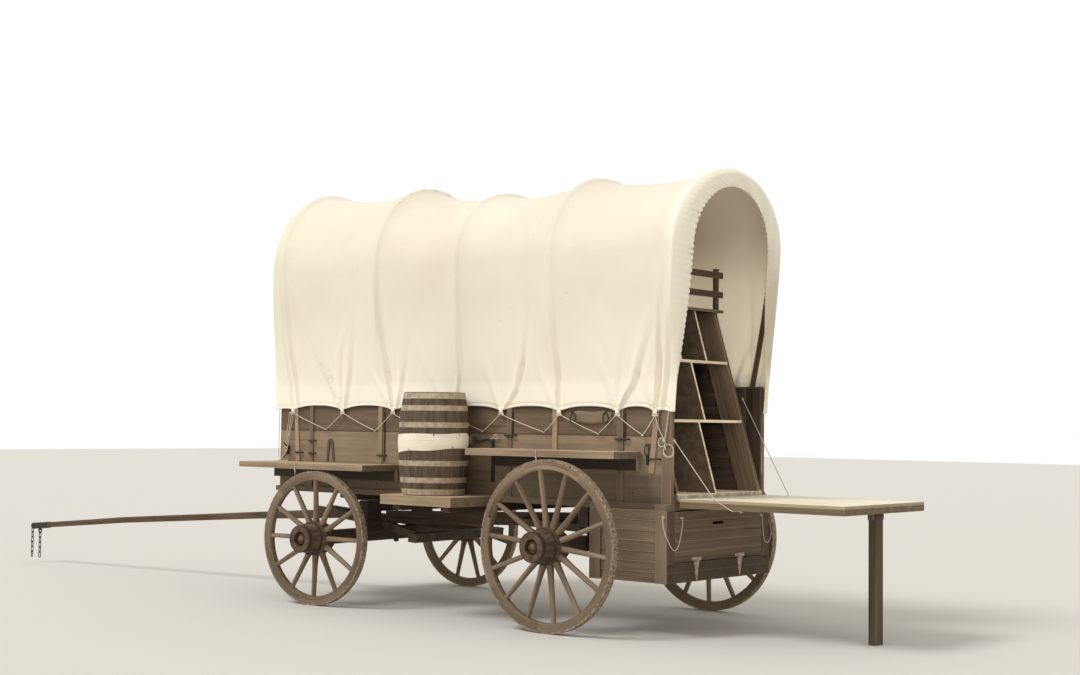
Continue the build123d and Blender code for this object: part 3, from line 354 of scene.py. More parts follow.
# %% [markdown]
# ## Making a piece
# Every added piece is a mesh with a body to ride on. Boards and spokes point in all directions,
# so a grain that follows the world's axes would cut across them. Each vertex carries its own
# grain place instead: along the stick, across it and through it, in metres.

# %% Mesh helpers
worn_board = wood("worn_board", (0.17, 0.127, 0.085), (0.33, 0.255, 0.175), "grain", 0.35, 1.5)
stave_wood = wood("stave_wood", (0.075, 0.05, 0.031), (0.165, 0.116, 0.073), "grain", 0.3, 1.3)
triangles = {}


class Stock:
    """Gathers the sticks, plates and rings that make one piece."""

    def __init__(self):
        self.verts, self.faces, self.grain = [], [], []

    def rings(self, rings, grain=None, close=False):
        """Skin over a row of rings with as many points each: closed into a loop, or capped at both ends."""
        base, n = len(self.verts), len(rings[0])
        for k, ring in enumerate(rings):
            for j, p in enumerate(ring):
                self.verts.append(Vector(p))
                self.grain.append(grain[k][j] if grain else (0, 0, 0))
        rows = len(rings) if close else len(rings) - 1
        for k in range(rows):
            a, b = base + k * n, base + (k + 1) % len(rings) * n
            for j in range(n):
                i = (j + 1) % n
                self.faces.append((a + j, a + i, b + i, b + j))
        if not close:
            self.faces.append(tuple(base + j for j in reversed(range(n))))
            self.faces.append(tuple(base + (len(rings) - 1) * n + j for j in range(n)))


def piece(name, stock, material, body="wagon", sharp=35, grain=False):
    """A mesh piece that rides on a body; with grain, each vertex keeps its place in its stick."""
    mesh = bpy.data.meshes.new(name)
    mesh.from_pydata([tuple(v) for v in stock.verts], [], stock.faces)
    mesh.validate()
    if grain:
        layer = mesh.attributes.new("grain", "FLOAT_VECTOR", "POINT")
        layer.data.foreach_set("vector", [c for g in stock.grain for c in g])
    mesh.polygons.foreach_set("use_smooth", [True] * len(mesh.polygons))
    mesh.set_sharp_from_angle(angle=radians(sharp))
    mesh.materials.append(material)
    obj = bpy.data.objects.new(name, mesh)
    scene.collection.objects.link(obj)
    if body:
        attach(obj, body)
    triangles[name] = sum(len(p.vertices) - 2 for p in mesh.polygons)
    return obj


def even_steps(run, count):
    """Where even steps fall on a line, from its running lengths: (span, share of it) pairs."""
    steps, k = [], 0
    for step in range(count + 1):
        want = run[-1] * step / count
        while k < len(run) - 2 and run[k + 1] < want:
            k += 1
        steps.append((k, (want - run[k]) / (run[k + 1] - run[k] or 1)))
    return steps


def circle(parts, points=None):
    """Angles at even parts of a full turn, as many as points or one for each part."""
    return [2 * pi * k / parts for k in range(points or parts)]


def round_box(stock, low, high, along, edge=0.0015, seed=0):
    """A board with its edges eased, and its grain running along one axis."""
    size = [high[i] - low[i] for i in range(3)]
    axis = "XYZ".index(along)
    a, b = [i for i in range(3) if i != axis]
    edge = min(edge, 0.45 * min(size))
    corners = []
    for sa, sb in ((1, 1), (-1, 1), (-1, -1), (1, -1)):
        first = (sa, sb) in ((1, 1), (-1, -1))
        pair = [(sa * (size[a] / 2 - edge), sb * size[b] / 2), (sa * size[a] / 2, sb * (size[b] / 2 - edge))]
        corners += pair[::-1] if first else pair
    mid = [(low[i] + high[i]) / 2 for i in range(3)]
    shift = (seed * 1.37 + low[0] * 3.1, seed * 0.71, low[2] * 1.9 + seed * 0.33)
    rings, grain = [], []
    half = size[axis] / 2
    for t, drawn_in in ((-half, edge * 0.6), (-half + edge, 0), (half - edge, 0), (half, edge * 0.6)):
        ring, marks = [], []
        for p, q in corners:
            at = [0, 0, 0]
            at[axis] = mid[axis] + t
            at[a] = mid[a] + math.copysign(abs(p) - drawn_in, p)
            at[b] = mid[b] + math.copysign(abs(q) - drawn_in, q)
            ring.append(Vector(at))
            marks.append((t + shift[0], p + shift[1], q + shift[2]))
        rings.append(ring)
        grain.append(marks)
    if axis == 1:  # keeps the faces looking outwards
        rings, grain = [r[::-1] for r in rings], [g[::-1] for g in grain]
    stock.rings(rings, grain)


def lathe(stock, profile, turns, place, closed=False, seed=0.0):
    """Turned work about the local Z axis: profile is radius and height from one end to the other."""
    base, n = len(stock.verts), len(profile)
    for angle in circle(turns):
        stock.verts += [place @ Vector((r * cos(angle), r * sin(angle), z)) for r, z in profile]
        stock.grain += [(z + seed, r * cos(angle) + seed, r * sin(angle)) for r, z in profile]
    for k in range(turns):
        a, b = base + k * n, base + (k + 1) % turns * n
        for j in range(n if closed else n - 1):
            i = (j + 1) % n
            stock.faces.append((a + j, b + j, b + i, a + i))
    if not closed:
        for j, order in ((0, 1), (n - 1, -1)):
            loop = [base + k * n + j for k in range(turns)]
            stock.faces.append(tuple(loop[::-order]))


def dome(stock, at, towards, radius, height):
    """A bolt head or rivet: a low dome on a surface."""
    turn = Vector(towards).normalized().to_track_quat("Z", "Y").to_matrix().to_4x4()
    place = Matrix.Translation(Vector(at)) @ turn
    lathe(stock, [(radius, -0.002), (radius, 0.25 * height), (0.72 * radius, 0.75 * height),
                  (0.3 * radius, height)], 8, place)


print("helpers ready")

# %% [markdown]
# ## The cover
# The bonnet is heavy cotton duck pulled over five wooden bows and laced down along both sides.
# Between two bows it sags, at each tie it is pulled into folds that fan out upwards, between
# ties the hem rises in a scallop, and at the two ends a drawstring gathers it into a ring.
# A cloth simulation could find such a shape, but the folds of this one are known from the
# picture, so the sheet is built from its sections and each fold is laid in by its place.

# %% Bows and the cover's section
# Bow: foot place, crown place, crown height, as in the CAD part
bows = [(-0.5, -0.712, 3.615), (0.535, 0.53, 3.575), (1.465, 1.465, 3.455), (2.45, 2.46, 3.495),
        (3.37, 3.625, 3.465)]
ends = ((-0.785, -0.74), (3.505, 3.665))
foot_z, hem_z, straight_z, shoulder_z = 1.18, 1.63, 1.84, 2.85
side_y, half_y = 0.6315, 0.729
over_bow = 0.008  # the cloth's middle over a bow's top
rows, finer = 168, 3  # rows round the sheet; the gathered ends have three times as many
# Turned hem: height over the hem line and how far inside, from the flap's edge round to the stitches
hem_rows = [(0.022, 0.0035), (0.006, 0.003), (0.0, 0.0012), (0.002, 0.0), (0.021, 0.0), (0.0245, 0.0018)]


def section(half, crown, side=side_y, count=rows):
    """Points y, z from the near hem over the crown to the far one, evenly spaced."""
    fine = [(side, hem_z + (straight_z - hem_z) * k / 20) for k in range(20)]
    fine += [(side + (half - side) * sin(pi / 2 * k / 60), straight_z + (shoulder_z - straight_z) * k / 60)
             for k in range(60)]
    fine += [(half * cos(pi / 2 * k / 90), shoulder_z + (crown - shoulder_z) * sin(pi / 2 * k / 90))
             for k in range(91)]
    fine = [(-y, z) for y, z in fine] + [(y, z) for y, z in reversed(fine[:-1])]
    run = [0.0]
    for (y0, z0), (y1, z1) in zip(fine, fine[1:]):
        run.append(run[-1] + math.hypot(y1 - y0, z1 - z0))
    out = []
    for k, t in even_steps(run, count):
        (y0, z0), (y1, z1) = fine[k], fine[k + 1]
        out.append((y0 + (y1 - y0) * t, z0 + (z1 - z0) * t))
    return out, run[-1]


print("round the section", round(section(half_y, 3.55)[1], 3), "m")

# %% Ties and folds
ties = [-0.562, 0.078, 0.697, 1.336, 1.909, 2.503, 3.066, 3.41]
seams = [0.267, 2.189]  # where two widths of cloth are sewn together, near side
# Fold: height of the ridge, width at its foot, then its line as place and height, from the tie upwards
near_folds = [
    (0.016, 0.03, [(-0.57, 1.62), (-0.64, 2.1), (-0.72, 2.8)]),
    (0.02, 0.03, [(-0.49, 1.62), (-0.58, 2.15), (-0.69, 2.75)]),
    (0.026, 0.028, [(0.07, 1.61), (-0.21, 2.1), (-0.5, 2.75)]),
    (0.018, 0.035, [(0.1, 1.61), (0.16, 2.0), (0.18, 2.55)]),
    (0.012, 0.03, [(0.05, 1.61), (0.03, 2.1), (0.17, 2.5)]),
    (0.026, 0.03, [(0.69, 1.61), (0.56, 2.3), (0.46, 3.0)]),
    (0.014, 0.025, [(0.66, 1.62), (0.52, 1.85), (0.36, 2.05)]),
    (0.016, 0.03, [(0.73, 1.62), (0.8, 1.95), (0.83, 2.3)]),
    (0.018, 0.03, [(1.33, 1.61), (1.2, 1.8), (0.98, 2.25)]),
    (0.016, 0.03, [(1.4, 1.62), (1.45, 1.9), (1.42, 2.5)]),
    (0.018, 0.028, [(1.89, 1.61), (1.85, 1.75), (1.73, 2.1)]),
    (0.02, 0.03, [(1.92, 1.61), (2.05, 1.78), (2.13, 2.05), (2.14, 2.5)]),
    (0.024, 0.03, [(2.49, 1.61), (2.47, 2.04), (2.37, 2.6)]),
    (0.012, 0.028, [(2.47, 1.61), (2.33, 1.9), (2.25, 2.2)]),
    (0.018, 0.028, [(3.04, 1.61), (2.99, 1.8), (2.83, 2.2)]),
    (0.026, 0.03, [(3.06, 1.61), (3.2, 1.83), (3.39, 2.4)]),
    (0.012, 0.028, [(3.04, 1.62), (3.06, 1.9), (3.05, 2.2)]),
    (0.032, 0.022, [(3.4, 1.61), (3.455, 2.0), (3.47, 2.75)]),
    (0.018, 0.025, [(3.38, 1.62), (3.33, 1.83), (3.28, 2.05)]),
    (0.022, 0.025, [(3.47, 1.61), (3.52, 2.0), (3.56, 2.5)]),
]
loose = random.Random(7)
far_folds = [
    (a * loose.uniform(0.7, 1.2), w, [(x + loose.uniform(-0.03, 0.03) + (z - 1.6) * loose.uniform(-0.12, 0.12), z)
                                      for x, z in line])
    for a, w, line in near_folds
]


def fold_height(folds, x, z):
    """How far the folds lift the cloth at a place on the side: each is a ridge with a valley behind it."""
    total, too_far = 0.0, 0.35
    for lift, width, line in folds:
        top = line[-1][1]
        if z > top or x < min(p[0] for p in line) - too_far or x > max(p[0] for p in line) + too_far:
            continue
        for (x0, z0), (x1, z1) in zip(line, line[1:]):
            if z <= z1 or (x1, z1) == line[-1]:
                middle = x0 + (x1 - x0) * (z - z0) / (z1 - z0)
                break
        rise = max(0.0, (z - line[0][1]) / (top - line[0][1]))
        off = (x - middle) / (width * (0.4 + 1.5 * rise))
        body = (1 - rise) ** 0.9 * min(1.0, 0.4 + 4 * rise)
        total += 1.7 * lift * body * (math.exp(-off * off) - 0.6 * math.exp(-(((off - 1.35) / 0.65) ** 2)))
    return total


hem_from, hem_to = -0.775, 3.54
tall_scallop, low_scallop = 0.038, 0.012


def hem_rise(x, seed):
    """Height of the scallop between two ties."""
    edges = [hem_from] + ties + [hem_to]
    for a, b in zip(edges, edges[1:]):
        if a <= x <= b:
            t = (x - a) / (b - a)
            full = tall_scallop if b - a > 0.3 else low_scallop
            return full * (1 - abs(2 * t - 1) ** 2.4) * (1 + 0.18 * noise.noise((a * 3, seed, 0)))
    return 0.0


print(len(near_folds), "folds a side,", len(ties), "ties a side")

# %% [markdown]
# The sheet is one grid: columns along the wagon, close together at the bows and the ties, and
# rows round the section. Past the end bows the columns turn inwards and become the gathered
# ring, so the ring and the side are one cloth. The hem is turned under by two fingers.

# %% Lay out the sheet
lip_columns, crease_run = 20, 0.046
clear_of_bow, fade_in = 0.022, 0.03  # where a valley may begin beside a bow, and how soon it is full
seam_lift, seam_width = 0.0035, 0.011
close_step = 0.009  # between columns at a bow, a tie or a seam
scallop_top, box_top, closest = 2.0, 1.86, side_y - 0.003
opening = {"side": 0.603, "shoulder": (0.512, 0.508), "crown": (3.37, 3.335)}
feet = [b[0] for b in bows]


def station(u):
    """Crown place, crown height and the two sags of the column whose foot is at u."""
    if u < feet[0] or u > feet[-1]:
        last = 0 if u < feet[0] else 4
        (fa, ca, za), (fb, cb) = bows[last], ends[0 if last == 0 else 1]
        return ca + (cb - ca) * (u - fa) / (fb - fa), za, 0.0, 0.0
    k = min(3, max(j for j in range(5) if feet[j] <= u))
    (fa, ca, za), (fb, cb, zb) = bows[k], bows[k + 1]
    s = (u - fa) / (fb - fa)
    clear = max(0.0, min(u - fa, fb - u) - 0.017)
    return ca + (cb - ca) * s, za + (zb - za) * s, 1 - math.exp(-clear / 0.03), 1 - abs(2 * s - 1) ** 2


def lip(end, w):
    """Half width, crown and outward shift of the gathered ring, w from 0 at the corner to 1 at the drawstring."""
    half = half_y + (opening["shoulder"][end] - half_y) * w
    crown = bows[-1 if end else 0][2] + over_bow
    crown += (opening["crown"][end] - crown) * w
    bulge = 0.042 * sin(min(1.0, w * 2.6) * pi / 2) - 0.03 * max(0.0, w - 0.38) ** 1.3
    return half, crown, bulge


def puckers(around, end):
    """Creases that the drawstring pulls into the ring: narrow valleys, each of its own depth."""
    v = around / crease_run + 0.8 * noise.noise((around * 3, end, 0))
    depth = 0.65 + 0.9 * noise.noise((math.floor(v + 0.5) * 3.7, end * 2.0, 1))
    return depth * (abs(sin(pi * v)) ** 0.7 - 0.65)


sheet, grid = Stock(), []


def add_column(foot, crown_x, crown_z, ridge, broad, half, shift=0.0, w=0.0, end=0, side=side_y, count=rows):
    outline, girth = section(half, crown_z, side, count)
    around = [girth * j / count for j in range(count + 1)]
    turned = [(outline[0][0] + inward, outline[0][1] + up) for up, inward in hem_rows]
    outline = turned + outline[1:-1] + [(-y, z) for y, z in reversed(turned)]
    around = [0.0] * len(hem_rows) + around[1:-1] + [girth] * len(hem_rows)
    lean = (crown_x - foot) / (crown_z - foot_z)
    ids = []
    for (y, z), run in zip(outline, around):
        near = y < 0
        up = max(0.0, min(1.0, (z - straight_z) / (shoulder_z - straight_z)))
        x = foot + lean * (z - foot_z) + shift
        top = max(0.0, (z - shoulder_z) / (crown_z - shoulder_z))
        normal = Vector((0, y, max(0.0, z - shoulder_z) * 1.1)).normalized()
        free = min(1.0, up * 1.5)
        free *= free * (3 - 2 * free)  # the sag begins over the box's edge
        # Two sags: one that starts right beside a bow, and a broad one that is deepest half way
        depth = ridge * (0.002 + 0.016 * free * (1 - top) + 0.022 * top)
        depth += broad * (0.028 * free * (1 - top) + 0.058 * top)
        lift = fold_height(near_folds if near else far_folds, x, z) if w == 0 else 0.0
        if lift < 0:  # no valley cuts into a bow
            lift *= min(1.0, max(0.0, (min(abs(foot - f) for f in feet) - clear_of_bow) / fade_in))
        for seam in seams:
            lift += seam_lift * math.exp(-(((x - seam) / seam_width) ** 2)) if w == 0 and near else 0.0
        lift += 0.006 * noise.noise((x * 2.1, y * 2.3, z * 1.7)) * min(1.0, broad * 3 + 0.1)
        lift += 0.0022 * noise.noise((x * 7, y * 6, z * 4)) * min(1.0, broad * 3 + 0.3)
        p = Vector((x, y, z)) + normal * (lift - depth)
        if z < scallop_top:
            p.z += hem_rise(x, 0 if near else 5) * (1 - (z - hem_z) / (scallop_top - hem_z)) ** 2
        if z < box_top and abs(p.y) < closest and w == 0:  # the cloth stays outside the boards
            p.y = math.copysign(closest + min(0.0, abs(y) - side_y), p.y)
        if w:
            crease = puckers(run, end) * w * min(1.0, 0.12 + 1.1 * up + top)
            p.x += (1 if end else -1) * 0.026 * crease
            p += normal * 0.005 * crease * (1.3 - w)
        ids.append(len(sheet.verts))
        sheet.verts.append(p)
    grid.append(ids)


def add_lip(end):
    columns = [(k / lip_columns, 0.0, 0.0) for k in range(1, lip_columns + 1)]
    columns += [(1.0, -0.004, 0.004), (1.0, -0.009, 0.003), (1.0, -0.012, -0.003)]  # tunnel of the drawstring
    sign = 1 if end else -1
    for w, back, inner in columns if end else reversed(columns):
        half, crown, bulge = lip(end, w)
        inward = (side_y - opening["side"]) * w + inner
        foot, crown_x = ends[end]
        add_column(foot, crown_x, crown - inner, 0, 0, half - inner, (bulge + back) * sign, w, end,
                   side_y - inward, rows * finer)


marks_along = feet + ties + seams
u, along = ends[0][0], []
while u < ends[1][0]:
    along.append(u)
    reach = min(abs(u - m) for m in marks_along)
    u += close_step + 0.011 * min(1.0, max(0.0, (reach - 0.03) / 0.05))
along.append(ends[1][0])
add_lip(0)
for u in along:
    crown_x, crown_z, ridge, broad = station(u)
    add_column(u, crown_x, crown_z + over_bow, ridge, broad, half_y)
add_lip(1)
turned = len(hem_rows) - 1
for a, b in zip(grid, grid[1:]):
    if len(a) == len(b):
        sheet.faces += [(a[j], a[j + 1], b[j + 1], b[j]) for j in range(len(a) - 1)]
        continue
    # Where the ring begins, three of its rows meet one of the side's, but not in the turned hem
    fine, coarse, flip = (a, b, 1) if len(a) > len(b) else (b, a, -1)
    for j in range(len(coarse) - 1):
        if j < turned or j > len(coarse) - turned - 2:
            i = j if j < turned else len(fine) - len(coarse) + j
            ring = (fine[i], fine[i + 1], coarse[j + 1], coarse[j])
        else:
            i = turned + (j - turned) * finer
            ring = (*fine[i:i + finer + 1], coarse[j + 1], coarse[j])
        sheet.faces.append(ring[::flip])
print("sheet", len(grid), "columns,", len(sheet.verts), "points,", len(sheet.faces), "faces")

# %% [markdown]
# ## Cotton duck
# The weave is too fine to see from here except as a soft tooth, so it is bump. Rain has left
# faint clouds on the cream. Towards the hem the cream is painted paler, painted light for the
# shade the lower cloth gets as it leans in, and it is also paler at the rear ring.
# It lets some light through, which is why its inside glows: less over the crown, where it is
# doubled, less on the near side, and hardly any where it lies against the box.

# %% Canvas material and the cover piece
paint = new_paint("cotton_duck")
cream = paint.ramp(paint.noise(paint.at(), 1.3, 6), 0.3, 0.7, (0.765, 0.705, 0.564), (0.85, 0.795, 0.658))
specks = paint.ramp(paint.noise(paint.at(), 34, 3), 0.24, 0.3, (0.72, 0.66, 0.56))
# Paler towards the hem, painted light; paler at the rear ring too.
low_down = paint.reach(paint.along("Z"), 2.85, 1.6, 0.0, 0.75)
at_ring = paint.reach(paint.along("X"), 3.5, 3.62, 0.0, 0.7, "LINEAR")
cream_with_painted_light = paint.mix(paint.sums("MAXIMUM", low_down, at_ring), paint.mix(0.6, cream, specks, "MULTIPLY"),
                   (0.985, 0.935, 0.79))
weave = paint.sums("ADD", *[paint.stretched(paint.at(), axis, 900, 30, 1) for axis in (0, 2)])
crumple = paint.bump(paint.noise(paint.at(), 9, 5), 0.12, 0.012, under=paint.bump(weave, 0.18, 0.001))
canvas = paint.finish(Base_Color=cream_with_painted_light, Roughness=0.92, Sheen_Weight=0.15, Sheen_Roughness=0.5, Normal=crumple)
crown = paint.reach(paint.along("Z"), 2.35, 3.2, 1.0, 0.04)
side_share = paint.reach(paint.along("Y"), -0.4, 0.4, 0.06, 0.48)
against_box = paint.reach(paint.along("Z"), 1.8, 2.05, 0.1, 1.0)
light_share = paint.sums("MULTIPLY", paint.sums("MULTIPLY", crown, side_share), against_box)
glow = paint.add("BsdfTranslucent", {"Color": (0.97, 0.84, 0.63)})
through = paint.add("MixShader", {0: light_share, 1: paint.skin.outputs[0], 2: glow.outputs[0]})
paint.feed(paint.tree.nodes["Material Output"], {0: through.outputs[0]})

cloth = piece("cover_cloth", sheet, canvas, sharp=80)
width = section(half_y, 3.52)[1] + 2 * hem_rows[0][0]
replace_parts(cloth, "cover")

# %% [markdown]
# ## Wheels
# A wheelwright's wheel is a turned nave, spokes driven into it and tenoned into felloes two by
# two, and a tyre shrunk on to hold it all. The wheels lean their spokes outwards, the dish.
# Each kind of piece is made the way it is made in the shop: the nave and the tyre are turned,
# the felloes are arcs with a joint between them, and a spoke is one tapering stick.

# %% Wheel woods
spoke_wood = wood("spoke_wood", (0.17, 0.12, 0.076), (0.34, 0.255, 0.17), "grain", 0.3, 0.8)
# Felloes paler towards the top of the wheel: painted light.
felloe_wood = wood("felloe_wood", (0.135, 0.097, 0.062), (0.255, 0.19, 0.126), "grain", 0.35,
                   fade=[("Z", 0.8, 1.15, 1.6)])
nave_wood = wood("nave_wood", (0.06, 0.038, 0.024), (0.17, 0.115, 0.068), "grain", 0.3, scale=1.6)
nut_metal = iron("nut_metal", (0.1, 0.072, 0.045), (0.17, 0.105, 0.055), 0.5, 0.5, 30)

# %% Wheel sizes
tyre_w, tyre_t, felloe_w, felloe_h = 0.06, 0.012, 0.056, 0.064
nave_r, nave_ring, nave_out, nave_in, dish = 0.14, 0.108, 0.185, 0.135, 0.015
recess_r, recess, skein_r = 0.062, 0.058, 0.036
joints = {j["name"]: j for j in frame["joints"]}


def wheel_place(name):
    """Matrix from a wheel's own frame, Z out of the wagon, to the shared frame."""
    joint = joints["turn_" + name]
    out = Vector(joint["axis"]).normalized()
    up = Vector((0, 0, 1))
    across = up.cross(out)
    place = Matrix((across, up, out)).transposed().to_4x4()
    place.translation = Vector(joint["pos_m"])
    return place


print(*joints)

# %% [markdown]
# A spoke is squared and deep where it enters the nave, then drawn down to an oval that is
# narrowest at the felloe. Its section is an oval ring whose corners grow squarer towards the nave.

# %% Spokes
def spoke(stock, place, turn, r0, r1, seed):
    rings, grain = [], []
    turn_m = Matrix.Rotation(turn, 4, "Z")
    for t in (0, 0.06, 0.14, 0.3, 0.5, 0.72, 0.9, 1):
        r = r0 + (r1 - r0) * t
        deep = 0.0285 - 0.007 * t
        wide = 0.0215 - 0.004 * t
        square = 2.0 + 3.0 * max(0.0, 1 - t / 0.2)
        off = -dish * (1 - t)
        ring, marks = [], []
        for a in circle(12):
            y = wide * math.copysign(abs(cos(a)) ** (2 / square), cos(a))
            z = deep * math.copysign(abs(sin(a)) ** (2 / square), sin(a))
            ring.append(place @ turn_m @ Vector((r, y, off + z)))
            marks.append((r + seed, y + seed * 0.7, z + seed * 0.3))
        rings.append(ring)
        grain.append(marks)
    stock.rings(rings, grain)


def felloe(stock, place, a0, a1, r_out, seed):
    """One arc of the rim, its inner edges rounded off with a spokeshave between the spokes."""
    r_in = r_out - felloe_h
    half = felloe_w / 2
    outline = [(r_out, -half), (r_out, half), (r_in + 0.013, half), (r_in + 0.004, half - 0.004),
               (r_in, half - 0.013), (r_in, -half + 0.013), (r_in + 0.004, -half + 0.004), (r_in + 0.013, -half)]
    rings, grain = [], []
    for k in range(13):
        a = a0 + (a1 - a0) * k / 12
        rings.append([place @ Vector((r * cos(a), r * sin(a), z)) for r, z in outline])
        grain.append([(a * r_out + seed, r + seed * 0.3, z + seed * 0.7) for r, z in outline])
    stock.rings(rings, grain)


# Wheel: its radius, spokes, how far it has rolled, and the body its axle belongs to
wheels = [("front_near", 0.557, 12, 15, "front_gear"), ("front_far", 0.557, 12, 0, "front_gear"),
          ("rear_near", 0.635, 14, 7.5, "wagon"), ("rear_far", 0.635, 14, 0, "wagon")]
chance = random.Random(11)
for name, radius, count, rolled, axle_body in wheels:
    place = wheel_place(name)
    body = "wheel_" + name
    rim_out = radius - tyre_t
    first = radians(rolled)
    spokes, rim = Stock(), Stock()
    for k in range(count):
        spoke(spokes, place, first + 2 * pi * (k + 0.5) / count, nave_r - 0.012, rim_out - felloe_h + 0.001,
              chance.uniform(0, 40))
    joint_gap = 0.0007 / radius
    for k in range(count // 2):
        a0, a1 = first + 2 * pi * 2 * k / count, first + 2 * pi * 2 * (k + 1) / count
        felloe(rim, place, a0 + joint_gap, a1 - joint_gap, rim_out, chance.uniform(0, 40))
    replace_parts(piece(f"spokes_{name}_shaved", spokes, spoke_wood, body, 50, grain=True), "spokes_" + name)
    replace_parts(piece(f"felloes_{name}_sawn", rim, felloe_wood, body, 30, grain=True), "felloes_" + name)
    band = Stock()
    half = tyre_w / 2
    lathe(band, [(rim_out, -half), (radius - 0.0015, -half), (radius, -half + 0.003), (radius, half - 0.003),
                 (radius - 0.0015, half), (rim_out, half)], 96, place, closed=True)
    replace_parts(piece(f"tyre_{name}_worn", band, tyre_iron, body, 30), "tyre_" + name)

    # The nave: front band, waist, belt with its mortises, back, then the box for the skein
    hub, hub_iron = Stock(), Stock()
    lathe(hub, [(skein_r + 0.001, -nave_in), (nave_ring - 0.004, -nave_in), (nave_ring - 0.001, -nave_in + 0.003),
                (0.121, -0.1), (0.127, -0.085), (0.129, -0.078), (nave_r, -0.058), (nave_r, 0.036), (0.131, 0.052),
                (0.128, 0.058), (0.122, 0.075), (0.113, 0.122), (0.111, 0.126), (0.107, 0.165),
                (nave_ring - 0.002, nave_out - 0.003), (nave_ring - 0.005, nave_out), (recess_r, nave_out),
                (recess_r, nave_out - recess), (skein_r + 0.001, nave_out - recess)], 56, place, closed=True,
          seed=chance.uniform(0, 9))
    # Band: its inner and outer radius and its two edges
    for inner, outer, z0, z1 in ((0.104, 0.1115, 0.151, 0.1845), (0.1045, 0.1115, -0.1345, -0.11),
                                 (0.1275, 0.1345, 0.047, 0.062), (0.1275, 0.1345, -0.083, -0.068)):
        lathe(hub_iron, [(inner, z0), (outer, z0), (outer + 0.0008, z0 + 0.002), (outer + 0.0008, z1 - 0.002),
                         (outer, z1), (inner, z1)], 56, place, closed=True)
    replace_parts(piece(f"nave_{name}_turned", hub, nave_wood, body, 30, grain=True), "nave_" + name)
    piece(f"nave_{name}_bands", hub_iron, dark_iron, body, 30)
    # Nut cap on the skein's end, seated in the recess
    cap = Stock()
    lathe(cap, [(0.004, 0.134), (0.04, 0.134), (0.04, 0.15), (0.033, 0.154), (0.031, 0.162), (0.026, 0.172),
                (0.015, 0.179), (0.004, 0.181)], 24, place)
    piece(f"nut_cap_{name}", cap, nut_metal, axle_body, 40)
print("wheels", sum(v for k, v in triangles.items() if "nave" in k or "spokes" in k or "felloes" in k))

# %% [markdown]
# ## Water barrel
# Twenty-four staves, cut wide in the middle and narrow at the ends, are bent together by the
# hoops. The joints show as fine dark lines and no two staves weathered alike, so every stave is
# its own piece of wood. The hoops are flat iron with two rivets where their ends overlap.

# %% Barrel
barrel_low, barrel_high = [Vector(c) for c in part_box("barrel")]
barrel_mid = (barrel_low + barrel_high) / 2
barrel_h = barrel_high.z - barrel_low.z
end_r, belly_r, stave_t, staves = 0.24, 0.279, 0.022, 24
arc_r = ((barrel_h / 2) ** 2 + (belly_r - end_r) ** 2) / (2 * (belly_r - end_r))


def stave_r(z):
    """Distance from the middle to a stave's face, z above the foot."""
    return belly_r - arc_r + math.sqrt(arc_r**2 - (z - barrel_h / 2) ** 2)


barrel_foot = Matrix.Translation(Vector((barrel_mid.x, barrel_mid.y, barrel_low.z)))
stave_stock = Stock()
for k in range(staves):
    seed = chance.uniform(0, 30)
    turn = Matrix.Rotation(2 * pi * (k + 0.5) / staves, 4, "Z")
    rings, grain = [], []
    for step in range(13):
        z = barrel_h * step / 12
        out = stave_r(z) + (0.0008 if k % 3 else 0)
        half = out * math.tan(pi / staves)
        inside = (out - stave_t) * math.tan(pi / staves)
        outline = [(out - stave_t, -inside + 0.0004), (out - 0.003, -half + 0.0005), (out, -half + 0.003),
                   (out + 0.0012, 0), (out, half - 0.003), (out - 0.003, half - 0.0005),
                   (out - stave_t, inside - 0.0004)]
        if step in (0, 12):
            outline = [(x - 0.0015 if x > out - 0.01 else x, y) for x, y in outline]
        rings.append([barrel_foot @ turn @ Vector((x, y, z)) for x, y in outline])
        grain.append([(z + seed, x + seed, y + seed * 0.4) for x, y in outline])
    stave_stock.rings(rings, grain)
for z in (0.025, barrel_h - 0.045):
    # Each head is five boards, cut round
    inner = stave_r(z) - stave_t * 0.6
    for k in range(5):
        y0, y1 = -inner + 2 * inner * k / 5 + 0.0006, -inner + 2 * inner * (k + 1) / 5 - 0.0006
        seed = chance.uniform(0, 30)
        cuts = [y0 + (y1 - y0) * m / 6 for m in range(7)]
        right = [(math.sqrt(max(0, inner**2 - y * y)), y) for y in cuts]
        outline = right + [(-x, y) for x, y in reversed(right)]
        rings = [[barrel_foot @ Vector((x, y, z + lift)) for x, y in outline] for lift in (0, 0.02)]
        stave_stock.rings(rings, [[(x + seed, y + seed, lift) for x, y in outline] for lift in (0, 0.02)])
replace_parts(piece("barrel_staves", stave_stock, stave_wood, sharp=25, grain=True), "barrel")

# %% Barrel hoops
# Hoop: its lower edge over the barrel's foot, and its width
hoop_places = [(0.006, 0.046), (0.1, 0.042), (0.232, 0.042), (0.532, 0.042), (0.664, 0.042), (0.758, 0.046)]
hoops, rivets = Stock(), Stock()
for k, (low, width) in enumerate(hoop_places):
    profile = [(stave_r(low + width * t) + 0.0012, low + width * t) for t in (0, 0.5, 1)]
    profile += [(r + 0.0026, z) for r, z in reversed(profile)]
    lathe(hoops, profile, 64, barrel_foot, closed=True)
    seam_angle = radians(-108 + 4 * (k % 3))
    for side in (-1, 1):
        for lap in (-0.012, 0.012):
            z = low + width / 2 + side * 0.0085
            r = stave_r(z) + 0.0036
            a = seam_angle + lap / r * 1.3
            dome(rivets, barrel_foot @ Vector((r * cos(a), r * sin(a), z)), (cos(a), sin(a), 0), 0.0055, 0.003)
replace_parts(piece("barrel_hoops_riveted", hoops, pale_iron, sharp=30), "barrel_hoops")
piece("barrel_rivets", rivets, dark_iron, sharp=40)

